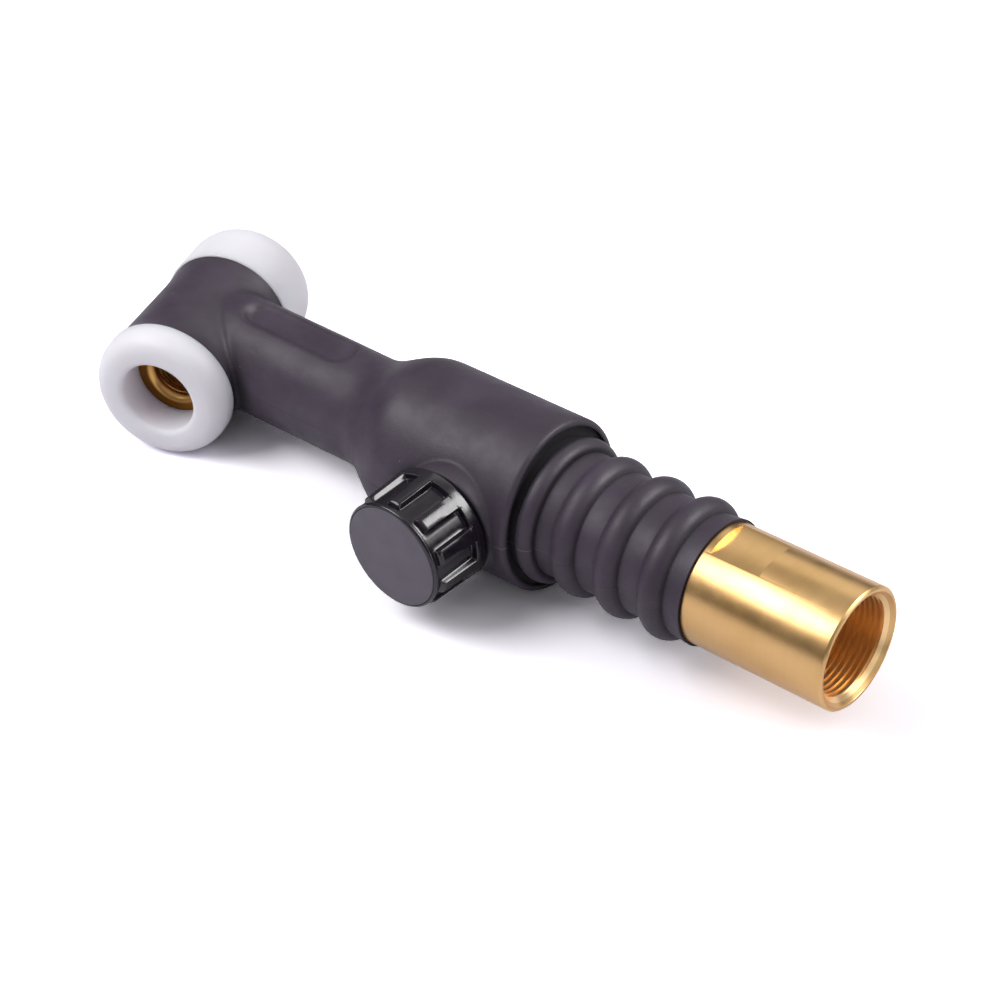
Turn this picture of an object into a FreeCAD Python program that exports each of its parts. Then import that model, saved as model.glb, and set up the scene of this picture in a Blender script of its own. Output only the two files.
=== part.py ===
import FreeCAD, Part
import math
import os
import re
import Sketcher
from FreeCAD import Placement, Rotation, Vector

# TIG torch body with a gas valve, lying on its side. The origin is the centre of the rear
# thread's mouth. +X runs out of the rear connector along the torch axis, -Y runs out along
# the valve stem towards the knob, and +Z is up. Stations are distances ahead of the origin,
# and heights are distances out from the torch axis along the valve stem.

# Driving dimensions in millimetres and degrees: name, value, meaning
SIZES = (
    # Rear connector
    ("connector_radius", 10.5, "outside of the brass end"),
    ("mouth_depth", 1.2, "depth of the countersink in front of the thread"),
    ("mouth_rim", 0.6, "flat ring between the countersink and the chamfer"),
    ("edge_chamfer", 0.6, "chamfer on the outer edge"),
    ("thread_radius", 8.46, "minor radius of the M18 x 1 female thread"),
    ("thread_length", 14.0, "threaded bore"),
    ("hose_seat_radius", 6.2, "seat for the hose nipple behind the thread"),
    ("hose_seat_length", 3.0, "length of that seat"),
    ("lip_station", 25.3, "brass shoulder that the rubber lip meets"),
    ("shank_radius", 7.6, "shank inside the rubber"),
    ("shank_length", 10.0, "length of the shank"),
    ("anchor_depth", 0.8, "anchor grooves that hold the rubber"),
    ("anchor_width", 2.0, "width of an anchor groove"),
    ("flat_depth", 1.0, "spanner flats, below the outside: 19 across"),
    ("flats_station", 14.6, "rear end of the flats"),
    ("flats_length", 9.3, "length of the flats"),
    # Tubes
    ("tube_radius", 5.0, "outside of both copper tubes"),
    ("tube_wall", 1.4, "wall of both copper tubes"),
    ("socket_depth", 4.5, "tube sockets in the valve body"),
    # Valve body
    ("valve_station", 71.7, "axis of the valve stem"),
    ("valve_radius", 9.0, "barrel of the valve body, from 18 mm bar"),
    ("valve_half_length", 11.0, "half the length of that barrel"),
    ("stub_radius", 7.2, "stub that takes the gland"),
    ("stub_face", 15.6, "height of the stub's face"),
    ("chamber_radius", 3.1, "bore that the O-rings run in"),
    ("seat_top", 1.0, "height of the valve seat"),
    ("seat_thickness", 1.6, "seat ring"),
    ("orifice_radius", 1.2, "hole in the seat ring"),
    ("orifice_depth", 4.4, "end of the gas way under the seat"),
    ("gas_way_radius", 1.0, "drilled ways from the tube sockets"),
    ("inlet_offset", 2.4, "rear way, beyond the torch axis"),
    ("outlet_offset", 2.5, "front way, on the knob side"),
    # Gland
    ("seal_radius", 6.6, "flat ring under the bush head"),
    ("seal_thickness", 0.6, "flat ring under the bush head"),
    ("bush_radius", 4.5, "bush thread, and its bore in the stub"),
    ("bush_bore", 2.98, "thread in the bush, on its minor radius"),
    ("bush_head_radius", 6.6, "hexagon head, over the corners"),
    ("bush_head_height", 1.8, "hexagon head"),
    ("thrust_thickness", 0.5, "washer that the stop clip meets"),
    ("fit_clearance", 0.05, "radial gap of a part that sits loosely in another"),
    ("running_clearance", 0.08, "radial gap of the turning stem"),
    # Stem
    ("tip_radius", 0.5, "end of the needle"),
    ("tip_depth", 1.4, "needle below the seat's top"),
    ("cone_height", 1.7, "needle cone above the seat's top"),
    ("needle_radius", 1.95, "plain length above the cone"),
    ("land_height", 3.8, "start of the sealing land"),
    ("ring_height", 4.9, "middle of the inner O-ring"),
    ("ring_pitch", 1.9, "from one O-ring to the next"),
    ("ring_section", 1.0, "thickness of an O-ring"),
    ("ring_groove_width", 1.4, "O-ring groove"),
    ("clip_height", 9.2, "middle of the stop clip"),
    ("clip_clearance", 0.4, "under the clip with the valve closed"),
    ("clip_travel", 1.2, "from the clip to its washer with the valve closed"),
    ("clip_thickness", 0.6, "stop clip"),
    ("clip_radius", 3.9, "outside of the stop clip"),
    ("clip_groove_radius", 2.4, "bottom of the clip's groove"),
    ("clip_opening", 2.6, "gap in the clip"),
    ("stem_end", 24.6, "height of the stem's outer end"),
    ("spline_radius", 2.5, "splined end in the knob's insert"),
    # Knob
    ("knob_back", 15.2, "height of the knob's rear edge"),
    ("knob_floor", 19.2, "height of the hollow's floor"),
    ("knob_front", 26.2, "height of the knob's front"),
    ("knob_radius_back", 10.5, "outside at the rear edge"),
    ("knob_radius_front", 10.2, "outside at the front of the ribs"),
    ("knob_face_radius", 9.35, "front rim and pocket floors"),
    ("knob_hollow_radius", 8.2, "hollow that clears the gland"),
    ("pocket_back", 17.4, "height of the pockets' rear walls"),
    ("rib_front", 25.3, "height of the ribs' front ends"),
    ("pocket_angle", 20.5, "width of a pocket round the knob"),
    ("pocket_count", 10, "pockets round the knob"),
    ("insert_radius", 4.2, "brass insert in the knob"),
    ("recess_radius", 6.25, "recess for the screw under the cap"),
    ("cap_radius", 9.2, "disc on the knob's front"),
    ("cap_thickness", 0.7, "disc on the knob's front"),
    ("cap_gap_depth", 0.25, "shadow gap under the disc's rim"),
    ("cap_gap_width", 0.5, "shadow gap under the disc's rim"),
    ("cap_spigot_length", 1.0, "spigot that holds the disc"),
    ("cap_spigot_wall", 0.8, "spigot that holds the disc"),
    ("screw_radius", 1.25, "knob screw's shank"),
    ("screw_length", 6.0, "knob screw's shank"),
    ("screw_head_radius", 2.8, "knob screw's head"),
    ("screw_head_height", 0.9, "knob screw's head"),
    ("slot_width", 0.7, "slot across the screw's head"),
    ("slot_depth", 0.45, "slot across the screw's head"),
    ("washer_radius", 3.4, "washer under the screw"),
    ("washer_thickness", 0.4, "washer under the screw"),
    # Head
    ("head_station", 143.7, "where the head axis crosses the torch axis"),
    ("head_lean", 20.6, "lean of the cap side towards the rear"),
    ("barrel_radius", 8.5, "threaded barrel of the head"),
    ("barrel_near", 13.3, "barrel end on the cap side"),
    ("barrel_far", 14.0, "barrel end on the nozzle side"),
    ("seat_cone_radius", 7.2, "cone in each end of the barrel"),
    ("seat_cone_depth", 1.3, "cone in each end of the barrel"),
    ("seat_cone_inner", 4.9, "inner edge of that cone"),
    ("cap_thread_radius", 4.4, "minor radius of the back-cap thread"),
    ("cap_thread_length", 9.5, "back-cap thread"),
    ("collet_thread_radius", 4.6, "minor radius of the collet-body thread"),
    ("collet_thread_length", 9.0, "collet-body thread"),
    ("head_bore", 3.0, "bore between the two threads"),
    ("hub_radius", 6.2, "hub that takes the neck tube"),
    ("hub_reach", 14.5, "hub's end from the head axis"),
    ("hub_seat", 9.5, "neck tube's end from the head axis"),
    # White insulators
    ("ring_bore", 7.3, "bore of both insulators"),
    ("ring_round", 2.6, "outer rounding of both"),
    ("bore_round", 1.6, "rounding of both bores' mouths"),
    ("spigot_wall", 1.7, "spigots between the barrel and the rubber"),
    ("cap_ring_radius", 12.82, "near ring"),
    ("cap_ring_base", 15.5, "near end of the rubber"),
    ("cap_ring_face", 20.6, "near ring's face"),
    ("cap_spigot", 5.5, "near ring's spigot"),
    ("nozzle_ring_radius", 12.5, "far ring"),
    ("nozzle_ring_base", 9.0, "far end of the rubber"),
    ("nozzle_ring_face", 22.0, "far ring's face"),
    ("nozzle_spigot", 4.5, "far ring's spigot"),
    # Rubber moulding
    ("head_radius_near", 12.76, "rubber at the near ring"),
    ("head_radius_far", 12.4, "rubber at the far ring"),
    ("head_waist_arc", 135.0, "radius of the hollow curve between them"),
    ("neck_start", 4.0, "neck's front end, inside the head, from the head axis"),
    ("neck_half_width", 9.5, "neck, in the plane of head and knob"),
    ("neck_half_height", 10.4, "neck, across that plane"),
    ("neck_taper", 0.3, "growth of both towards the head"),
    ("neck_offset", 1.15, "neck's centre, away from the knob"),
    ("shoulder_front", 102.3, "start of the swell to the housing"),
    ("shoulder_back", 86.8, "end of that swell"),
    ("housing_half_width", 14.6, "housing, in the plane of head and knob"),
    ("housing_half_height", 15.8, "housing, across that plane"),
    ("rim_station", 57.6, "rear face of the housing"),
    ("rim_round", 2.0, "rounding of the rear rim"),
    ("boss_radius", 10.5, "boss behind the knob"),
    ("boss_face", 14.8, "height of the boss's face"),
    ("moat_radius", 13.4, "outer wall of the groove round the collar"),
    ("moat_depth", 1.6, "depth of that groove"),
    ("sleeve_root", 3.2, "sleeve's front end, inside the housing"),
    ("collar_radius", 12.9, "collar behind the rim"),
    ("collar_flat", 0.6, "straight part of the collar"),
    ("collar_length", 3.0, "collar"),
    ("collar_foot", 11.5, "radius where the collar ends"),
    ("collar_arc", 2.9, "rounding of the collar"),
    ("first_land", 11.1, "sleeve's radius behind the collar"),
    ("land_radius", 10.6, "sleeve between the ribs"),
    ("lip_radius", 10.9, "sleeve's end"),
    ("rib_station", 48.9, "front rib"),
    ("rib_pitch", 8.85, "from rib to rib"),
    ("rib_width", 4.6, "rib at its foot"),
    ("rib_arc", 2.45, "radius of a rib's section"),
    ("rib_count", 3, "ribs"),
    ("panel_front", 133.3, "front end of the shallow panel on the neck"),
    ("panel_back", 107.8, "rear end of that panel"),
    ("panel_half_width", 2.9, "half the panel's width"),
    ("panel_offset", 1.7, "panel's middle line, away from the knob"),
    ("panel_floor", 9.75, "panel's floor, from the torch axis"),
)

NAMES = {name for name, size, meaning in SIZES}
SHOULDER_STEPS = 6
TOLERANCE = 0.001

doc = FreeCAD.newDocument("TigTorch")
sheet = doc.addObject("Spreadsheet::Sheet", "Sizes")
for row, (name, size, meaning) in enumerate(SIZES, start=1):
    sheet.set(f"A{row}", meaning)
    sheet.set(f"B{row}", str(size))
    sheet.setAlias(f"B{row}", name)
doc.recompute()


def bound(text):
    """Turns each size's name in an expression into a reference to its cell."""
    return re.sub(r"[a-z_]+", lambda word: "Sizes." + word[0] if word[0] in NAMES else word[0], text)


def value(text):
    """Works out an expression of sizes."""
    return float(sheet.evalExpression(text))


# Sketched bodies


def new_body(label, x="0", turn="0"):
    """Starts a body whose own X axis is turned about Z and set at x on the torch axis."""
    body = doc.addObject("PartDesign::Body", label)
    body.Label = label
    body.Placement = Placement(Vector(value(x), 0, 0), Rotation(Vector(0, 0, 1), value(turn)))
    body.setExpression("Placement.Base.x", bound(x))
    body.setExpression("Placement.Rotation.Angle", bound(turn))
    return body


def arc_between(start, end, radius):
    """An arc that bulges to the left of the way from start to end, and whether it runs that way."""
    chord = end - start
    left = Vector(-chord.y, chord.x, 0).normalize()
    middle = (start + end) * 0.5
    side = 1 if radius > 0 else -1
    centre = middle - left * side * math.sqrt(radius**2 - (chord.Length / 2) ** 2)
    top = centre + left * radius
    return Part.Arc(start, top, end), side < 0


def outline(body, name, corners, x="0", y="0", turn="0", tilt="0"):
    """Draws a closed outline. A corner is (x, y), or (x, y, radius) where an arc starts."""
    sketch = body.newObject("Sketcher::SketchObject", name)
    plane = next(item for item in body.Origin.OriginFeatures if item.Role == "XY_Plane")
    sketch.AttachmentSupport = [(plane, "")]
    sketch.MapMode = "FlatFace"
    rotation = Rotation(Vector(0, 0, 1), value(turn)) * Rotation(Vector(1, 0, 0), value(tilt))
    sketch.AttachmentOffset = Placement(Vector(value(x), value(y), 0), rotation)
    sketch.setExpression("AttachmentOffset.Base.x", bound(x))
    sketch.setExpression("AttachmentOffset.Base.y", bound(y))
    if turn != "0":
        sketch.setExpression("AttachmentOffset.Rotation.Angle", bound(turn))
    points = [Vector(value(corner[0]), value(corner[1]), 0) for corner in corners]
    ends = []
    for index, corner in enumerate(corners):
        start, end = points[index], points[(index + 1) % len(points)]
        if len(corner) == 3:
            arc, forward = arc_between(start, end, value(corner[2]))
            sketch.addGeometry(arc, False)
            ends.append((1, 2) if forward else (2, 1))
        else:
            sketch.addGeometry(Part.LineSegment(start, end), False)
            ends.append((1, 2))
    for index, corner in enumerate(corners):
        following = (index + 1) % len(corners)
        joint = Sketcher.Constraint("Coincident", index, ends[index][1], following, ends[following][0])
        sketch.addConstraint(joint)
    for index, corner in enumerate(corners):
        for kind, text, size in (
            ("DistanceX", corner[0], points[index].x),
            ("DistanceY", corner[1], points[index].y),
        ):
            number = sketch.addConstraint(Sketcher.Constraint(kind, -1, 1, index, ends[index][0], size))
            sketch.setExpression(f"Constraints[{number}]", bound(text))
        if len(corner) == 3:
            radius = Sketcher.Constraint("Radius", index, abs(value(corner[2])))
            number = sketch.addConstraint(radius)
            sketch.setExpression(f"Constraints[{number}]", bound(f"abs({corner[2]})"))
    return sketch


def revolve(body, sketch):
    """Turns an outline about its own X axis into material."""
    solid = body.newObject("PartDesign::Revolution", sketch.Name + "Turned")
    solid.Profile = sketch
    solid.ReferenceAxis = (sketch, ["H_Axis"])
    doc.recompute()
    return solid


def bore(body, sketch, angle="360"):
    """Turns an outline about its own X axis and cuts it out of the body."""
    before = body.Shape.Volume
    cut = body.newObject("PartDesign::Groove", sketch.Name + "Cut")
    cut.Profile = sketch
    cut.ReferenceAxis = (sketch, ["H_Axis"])
    cut.Angle = value(angle)
    if angle != "360":
        cut.Midplane = True
        cut.setExpression("Angle", bound(angle))
    doc.recompute()
    if not cut.Shape.Volume < before:
        raise RuntimeError(f"{sketch.Name} cuts nothing")
    return cut


def span(start, end, radius, inner="0"):
    """Corners of a plain turned length from start to end."""
    return [(start, inner), (start, radius), (end, radius), (end, inner)]


def turned(label, corners, x="0", turn="0"):
    """A body made by turning one outline."""
    body = new_body(label, x, turn)
    revolve(body, outline(body, label + "Outline", corners))
    return body


def round_edges(body, name, radius, places):
    """Rounds the circular edges at the given (x, radius) places of a turned body."""
    base = body.Tip
    shape = body.Shape.copy()
    shape.Placement = Placement()
    wanted = [(value(x), value(r)) for x, r in places]
    edges = []
    for index, edge in enumerate(shape.Edges, start=1):
        if not isinstance(edge.Curve, Part.Circle):
            continue
        for x, r in wanted:
            if abs(edge.Curve.Center.x - x) < TOLERANCE and abs(edge.Curve.Radius - r) < TOLERANCE:
                edges.append(f"Edge{index}")
    rounding = body.newObject("PartDesign::Fillet", name)
    rounding.Base = (base, edges)
    rounding.Radius = value(radius)
    rounding.setExpression("Radius", bound(radius))
    doc.recompute()
    return rounding


# Solids of the Part kind


def placed(item, x="0", y="0", z="0", axis=(0, 0, 1), angle=0):
    """Places an object, with its position bound to the sheet."""
    item.Placement = Placement(Vector(value(x), value(y), value(z)), Rotation(Vector(*axis), angle))
    for letter, text in zip("xyz", (x, y, z)):
        item.setExpression("Placement.Base." + letter, bound(text))
    return item


def block(name, length, width, height, **place):
    """A box whose sides are bound to the sheet."""
    box = doc.addObject("Part::Box", name)
    for side, text in (("Length", length), ("Width", width), ("Height", height)):
        setattr(box, side, value(text))
        box.setExpression(side, bound(text))
    return placed(box, **place)


def rod(name, radius, length, **place):
    """A cylinder whose sizes are bound to the sheet."""
    cylinder = doc.addObject("Part::Cylinder", name)
    for side, text in (("Radius", radius), ("Height", length)):
        setattr(cylinder, side, value(text))
        cylinder.setExpression(side, bound(text))
    return placed(cylinder, **place)


def fused(name, items):
    """One object from all the items together."""
    fuse = doc.addObject("Part::MultiFuse", name)
    fuse.Shapes = items
    fuse.Label = name
    return fuse


def without(name, base, tool):
    """The base with the tool's shape cut out."""
    cut = doc.addObject("Part::Cut", name)
    cut.Base = base
    cut.Tool = tool
    cut.Label = name
    return cut


# Rear end: connector and its tube

TUBE_BORE = "tube_radius - tube_wall"
FLAT_HEIGHT = "(connector_radius - flat_depth)"
SHANK_END = "-lip_station - shank_length"
HOSE_SEAT_END = "-thread_length - hose_seat_length"
HEAD_TURN = "head_lean - 90"
VALVE_TURN = "-90"


def make_rear_connector():
    """Turned brass end: thread, hose seat, tube socket, anchor grooves and spanner flats."""
    body = new_body("rear_connector")
    corners = [
        ("mouth_depth", "connector_radius - edge_chamfer - mouth_rim"),
        ("mouth_depth", "connector_radius - edge_chamfer"),
        ("mouth_depth - edge_chamfer", "connector_radius"),
        ("-lip_station", "connector_radius"),
        ("-lip_station", "shank_radius"),
    ]
    for groove in (1, 2):
        start = f"-lip_station - {2 * groove - 1} * shank_length / 5"
        corners += [
            (start, "shank_radius"),
            (start, "shank_radius - anchor_depth"),
            (f"{start} - anchor_width", "shank_radius - anchor_depth"),
            (f"{start} - anchor_width", "shank_radius"),
        ]
    corners += [
        (SHANK_END, "shank_radius"),
        (SHANK_END, "tube_radius"),
        (HOSE_SEAT_END, "tube_radius"),
        (HOSE_SEAT_END, "hose_seat_radius"),
        ("-thread_length", "hose_seat_radius"),
        ("-thread_length", "thread_radius"),
        ("0", "thread_radius"),
    ]
    revolve(body, outline(body, "ConnectorOutline", corners))
    for side, tilt in (("Top", "0"), ("Bottom", "180")):
        flat = outline(
            body,
            "Flat" + side,
            [
                ("-flats_station", "-connector_radius"),
                ("-flats_station", "connector_radius"),
                ("-flats_station - flats_length", "connector_radius"),
                ("-flats_station - flats_length", "-connector_radius"),
            ],
            tilt=tilt,
        )
        before = body.Shape.Volume
        cut = body.newObject("PartDesign::Pocket", "FlatCut" + side)
        cut.Profile = flat
        height = FLAT_HEIGHT if side == "Top" else f"-{FLAT_HEIGHT}"
        flat.setExpression("AttachmentOffset.Base.z", bound(height))
        cut.Reversed = True
        cut.Length = value("connector_radius")
        cut.setExpression("Length", bound("connector_radius"))
        doc.recompute()
        if not cut.Shape.Volume < before:
            raise RuntimeError("a spanner flat cuts nothing")
    return body


def make_rear_tube():
    """Copper tube brazed between the valve body and the connector."""
    front = "-valve_station + valve_half_length - socket_depth"
    return turned("rear_tube", span(front, HOSE_SEAT_END, "tube_radius", TUBE_BORE))


# Valve

CHAMBER_TOP = "(clip_height - clip_thickness / 2 - clip_clearance)"
WASHER_BASE = "(clip_height + clip_thickness / 2 + clip_travel)"
BUSH_INNER = f"({WASHER_BASE} + thrust_thickness)"


def make_valve_body():
    """Brass block: a barrel in line with the tubes, and a stub towards the knob."""
    body = new_body("valve_body", x="-valve_station")
    revolve(body, outline(body, "Barrel", span("-valve_half_length", "valve_half_length", "valve_radius")))
    revolve(body, outline(body, "Stub", span("0", "stub_face", "stub_radius"), turn=VALVE_TURN))
    for side, sign in (("Front", "-"), ("Rear", "")):
        end = f"{sign}valve_half_length"
        floor = f"{sign}(valve_half_length - socket_depth)"
        bore(body, outline(body, side + "Socket", span(floor, end, "tube_radius")))
    chamber = [
        ("-orifice_depth", "0"),
        ("-orifice_depth", "orifice_radius"),
        ("seat_top - seat_thickness", "orifice_radius"),
        ("seat_top - seat_thickness", "chamber_radius"),
        (CHAMBER_TOP, "chamber_radius"),
        (CHAMBER_TOP, "bush_radius"),
        ("stub_face", "bush_radius"),
        ("stub_face", "0"),
    ]
    bore(body, outline(body, "Chamber", chamber, turn=VALVE_TURN))
    inlet = span("0", "valve_half_length - socket_depth", "gas_way_radius")
    bore(body, outline(body, "Inlet", inlet, y="inlet_offset"))
    outlet = span("-valve_half_length + socket_depth", "0", "gas_way_radius")
    bore(body, outline(body, "Outlet", outlet, y="-outlet_offset"))
    return body


def valve_part(label, corners):
    """A turned part on the valve stem's axis, drawn in heights and radii."""
    return turned(label, corners, x="-valve_station", turn=VALVE_TURN)


def make_seat_insert():
    """Ring that the needle closes on."""
    return valve_part(
        "seat_insert",
        span("seat_top - seat_thickness", "seat_top", "chamber_radius", "orifice_radius"),
    )


def make_gland():
    """Flat ring, threaded bush with a hexagon head, and the washer inside the bush's end."""
    head_base = "stub_face + seal_thickness"
    valve_part("gland_seal", span("stub_face", head_base, "seal_radius", "bush_radius"))
    washer_bore = "bush_bore + fit_clearance"
    washer = span(WASHER_BASE, BUSH_INNER, "bush_radius", washer_bore)
    valve_part("thrust_washer", washer)
    place = {"x": "-valve_station", "axis": (1, 0, 0), "angle": 90}
    head = doc.addObject("Part::Prism", "BushHexagon")
    head.Polygon = 6
    head.Circumradius = value("bush_head_radius")
    head.setExpression("Circumradius", bound("bush_head_radius"))
    head.Height = value("bush_head_height")
    head.setExpression("Height", bound("bush_head_height"))
    placed(head, y=f"-({head_base})", **place)
    shank = rod("BushShank", "bush_radius", f"{head_base} - {BUSH_INNER}", y=f"-{BUSH_INNER}", **place)
    through = rod("BushBore", "bush_bore", "stem_end", y="0", **place)
    without("gland_bush", fused("BushBlank", [head, shank]), through)


def make_valve_stem():
    """Needle: cone, sealing land with two grooves, clip groove, thread and splined end."""
    land = "chamber_radius - running_clearance"
    groove = "chamber_radius - ring_section - 2 * fit_clearance"
    thread = "bush_bore - running_clearance"
    corners = [
        ("seat_top - tip_depth", "0"),
        ("seat_top - tip_depth", "tip_radius"),
        ("seat_top", "orifice_radius - running_clearance"),
        ("seat_top + cone_height", "needle_radius"),
        ("land_height", "needle_radius"),
        ("land_height", land),
    ]
    for ring in (0, 1):
        middle = f"ring_height + {ring} * ring_pitch"
        corners += [
            (f"{middle} - ring_groove_width / 2", land),
            (f"{middle} - ring_groove_width / 2", groove),
            (f"{middle} + ring_groove_width / 2", groove),
            (f"{middle} + ring_groove_width / 2", land),
        ]
    clip_side = "(clip_thickness / 2 + fit_clearance)"
    corners += [
        (f"clip_height - {clip_side}", land),
        (f"clip_height - {clip_side}", "clip_groove_radius"),
        (f"clip_height + {clip_side}", "clip_groove_radius"),
        (f"clip_height + {clip_side}", thread),
        ("knob_floor", thread),
        ("knob_floor", "spline_radius"),
        ("stem_end", "spline_radius"),
        ("stem_end", "screw_radius"),
        ("stem_end + washer_thickness - screw_length", "screw_radius"),
        ("stem_end + washer_thickness - screw_length", "0"),
    ]
    return valve_part("valve_stem", corners)


def make_stem_o_rings():
    """Two O-rings in the stem's grooves."""
    rings = []
    for number in (0, 1):
        ring = doc.addObject("Part::Torus", f"ORing{number + 1}")
        ring.Radius1 = value("chamber_radius - ring_section / 2 - fit_clearance")
        ring.Radius2 = value("ring_section / 2")
        ring.setExpression("Radius1", bound("chamber_radius - ring_section / 2 - fit_clearance"))
        ring.setExpression("Radius2", bound("ring_section / 2"))
        height = f"-ring_height - {number} * ring_pitch"
        rings.append(placed(ring, x="-valve_station", y=height, axis=(1, 0, 0), angle=90))
    group = doc.addObject("Part::Compound", "stem_o_rings")
    group.Label = "stem_o_rings"
    group.Links = rings


def make_retaining_ring():
    """Open spring clip in the stem's groove."""
    inside = "clip_groove_radius + fit_clearance"
    clip = valve_part(
        "ClipBlank",
        span("clip_height - clip_thickness / 2", "clip_height + clip_thickness / 2", "clip_radius", inside),
    )
    slot = block(
        "ClipSlot",
        "clip_opening",
        "2 * clip_thickness",
        "clip_radius",
        x="-valve_station - clip_opening / 2",
        y="-clip_height - clip_thickness",
    )
    without("retaining_ring", clip, slot)


# Knob


def make_knob():
    """Moulded knob: a smooth flange, ten pockets between ribs, and a hollow for the gland."""
    body = new_body("knob", x="-valve_station", turn=VALVE_TURN)
    corners = [
        ("knob_back", "knob_hollow_radius"),
        ("knob_back", "knob_radius_back"),
        ("rib_front", "knob_radius_front"),
        ("rib_front", "knob_face_radius"),
        ("knob_front - cap_gap_depth", "knob_face_radius"),
        ("knob_front - cap_gap_depth", "cap_radius - cap_gap_width"),
        ("knob_front", "cap_radius - cap_gap_width"),
        ("knob_front", "recess_radius"),
        ("stem_end", "recess_radius"),
        ("stem_end", "insert_radius"),
        ("knob_floor", "insert_radius"),
        ("knob_floor", "knob_hollow_radius"),
    ]
    revolve(body, outline(body, "KnobOutline", corners))
    pocket_section = span("pocket_back", "rib_front", "2 * knob_face_radius", "knob_face_radius")
    pocket = bore(body, outline(body, "KnobPocket", pocket_section), angle="pocket_angle")
    pattern = body.newObject("PartDesign::PolarPattern", "KnobPockets")
    pattern.Originals = [pocket]
    axis = next(item for item in body.Origin.OriginFeatures if item.Role == "X_Axis")
    pattern.Axis = (axis, [""])
    pattern.Angle = 360
    pattern.Occurrences = int(value("pocket_count"))
    pattern.setExpression("Occurrences", bound("pocket_count"))
    body.Tip = pattern
    doc.recompute()
    return body


def make_knob_fittings():
    """Insert, washer, slotted screw and cap disc."""
    valve_part("knob_insert", span("knob_floor", "stem_end", "insert_radius", "spline_radius"))
    screw_seat = "stem_end + washer_thickness"
    valve_part("knob_washer", span("stem_end", screw_seat, "washer_radius", "screw_radius + fit_clearance"))
    screw = valve_part(
        "ScrewBlank",
        [
            (f"{screw_seat} - screw_length", "0"),
            (f"{screw_seat} - screw_length", "screw_radius"),
            (screw_seat, "screw_radius"),
            (screw_seat, "screw_head_radius"),
            (f"{screw_seat} + screw_head_height", "screw_head_radius"),
            (f"{screw_seat} + screw_head_height", "0"),
        ],
    )
    slot = block(
        "ScrewSlot",
        "2 * screw_head_radius",
        "2 * slot_depth",
        "slot_width",
        x="-valve_station - screw_head_radius",
        y=f"-({screw_seat} + screw_head_height + slot_depth)",
        z="-slot_width / 2",
    )
    without("knob_screw", screw, slot)
    spigot = "recess_radius - fit_clearance"
    valve_part(
        "knob_cap",
        [
            ("knob_front + cap_thickness", "0"),
            ("knob_front + cap_thickness", "cap_radius"),
            ("knob_front", "cap_radius"),
            ("knob_front", spigot),
            ("knob_front - cap_spigot_length", spigot),
            ("knob_front - cap_spigot_length", f"{spigot} - cap_spigot_wall"),
            ("knob_front", f"{spigot} - cap_spigot_wall"),
            ("knob_front", "0"),
        ],
    )


# Head

SPIGOT_RADIUS = "barrel_radius + spigot_wall"


def make_head_core():
    """Brass barrel with the cap thread near, the collet thread far, and a hub for the neck tube."""
    body = new_body("head_core", x="-head_station", turn=HEAD_TURN)
    across = f"-({HEAD_TURN})"
    revolve(body, outline(body, "HeadBarrel", span("-barrel_far", "barrel_near", "barrel_radius")))
    revolve(body, outline(body, "NeckHub", span("0", "hub_reach", "hub_radius"), turn=across))
    for side, sign, end, thread, length in (
        ("Cap", "", "barrel_near", "cap_thread_radius", "cap_thread_length"),
        ("Collet", "-", "barrel_far", "collet_thread_radius", "collet_thread_length"),
    ):
        mouth = f"({end} - seat_cone_depth)"
        corners = [
            (f"{sign}{end}", "0"),
            (f"{sign}{end}", "seat_cone_radius"),
            (f"{sign}{mouth}", "seat_cone_inner"),
            (f"{sign}{mouth}", thread),
            (f"{sign}({mouth} - {length})", thread),
            (f"{sign}({mouth} - {length})", "0"),
        ]
        bore(body, outline(body, side + "Bore", corners))
    bore(body, outline(body, "MiddleBore", span("-barrel_far", "barrel_near", "head_bore")))
    bore(body, outline(body, "NeckGasWay", span("0", "hub_reach", TUBE_BORE), turn=across))
    bore(body, outline(body, "NeckSocket", span("hub_seat", "hub_reach", "tube_radius"), turn=across))
    return body


def make_neck_tube():
    """Copper tube from the head's hub to the valve body."""
    rear = "-valve_station - valve_half_length + socket_depth"
    return turned("neck_tube", span("-head_station + hub_seat", rear, "tube_radius", TUBE_BORE))


def make_insulator(label, sign, base, face, radius, spigot, barrel):
    """White ring with a spigot that lies between the barrel and the rubber."""
    body = new_body(label, x="-head_station", turn=HEAD_TURN)
    places = {
        "face": f"{sign}{face}",
        "base": f"{sign}{base}",
        "barrel": f"{sign}{barrel}",
        "spigot": f"{sign}({base} - {spigot})",
    }
    corners = [
        (places["face"], "ring_bore"),
        (places["face"], radius),
        (places["base"], radius),
        (places["base"], SPIGOT_RADIUS),
        (places["spigot"], SPIGOT_RADIUS),
        (places["spigot"], "barrel_radius"),
        (places["barrel"], "barrel_radius"),
        (places["barrel"], "ring_bore"),
    ]
    revolve(body, outline(body, label + "Outline", corners))
    round_edges(body, label + "Rounded", "ring_round", [(places["face"], radius)])
    round_edges(body, label + "Mouth", "bore_round", [(places["face"], "ring_bore")])
    return body


# Rubber moulding

MOULDED_IN = ("head_core", "cap_insulator", "nozzle_insulator", "valve_body", "rear_connector")


def neck_section(name, station, width, height, offset):
    """One oval of the neck and housing, across the torch axis."""
    oval = doc.addObject("Part::Ellipse", name)
    oval.MajorRadius = value(height)
    oval.MinorRadius = value(width)
    oval.setExpression("MajorRadius", bound(height))
    oval.setExpression("MinorRadius", bound(width))
    return placed(oval, x=f"-({station})", y=offset, axis=(0, 1, 0), angle=-90)


def lofted(name, sections, straight):
    """A solid through a row of ovals, with straight or smoothly curved sides."""
    loft = doc.addObject("Part::Loft", name)
    loft.Sections = sections
    loft.Solid = True
    loft.Ruled = straight
    return loft


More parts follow.
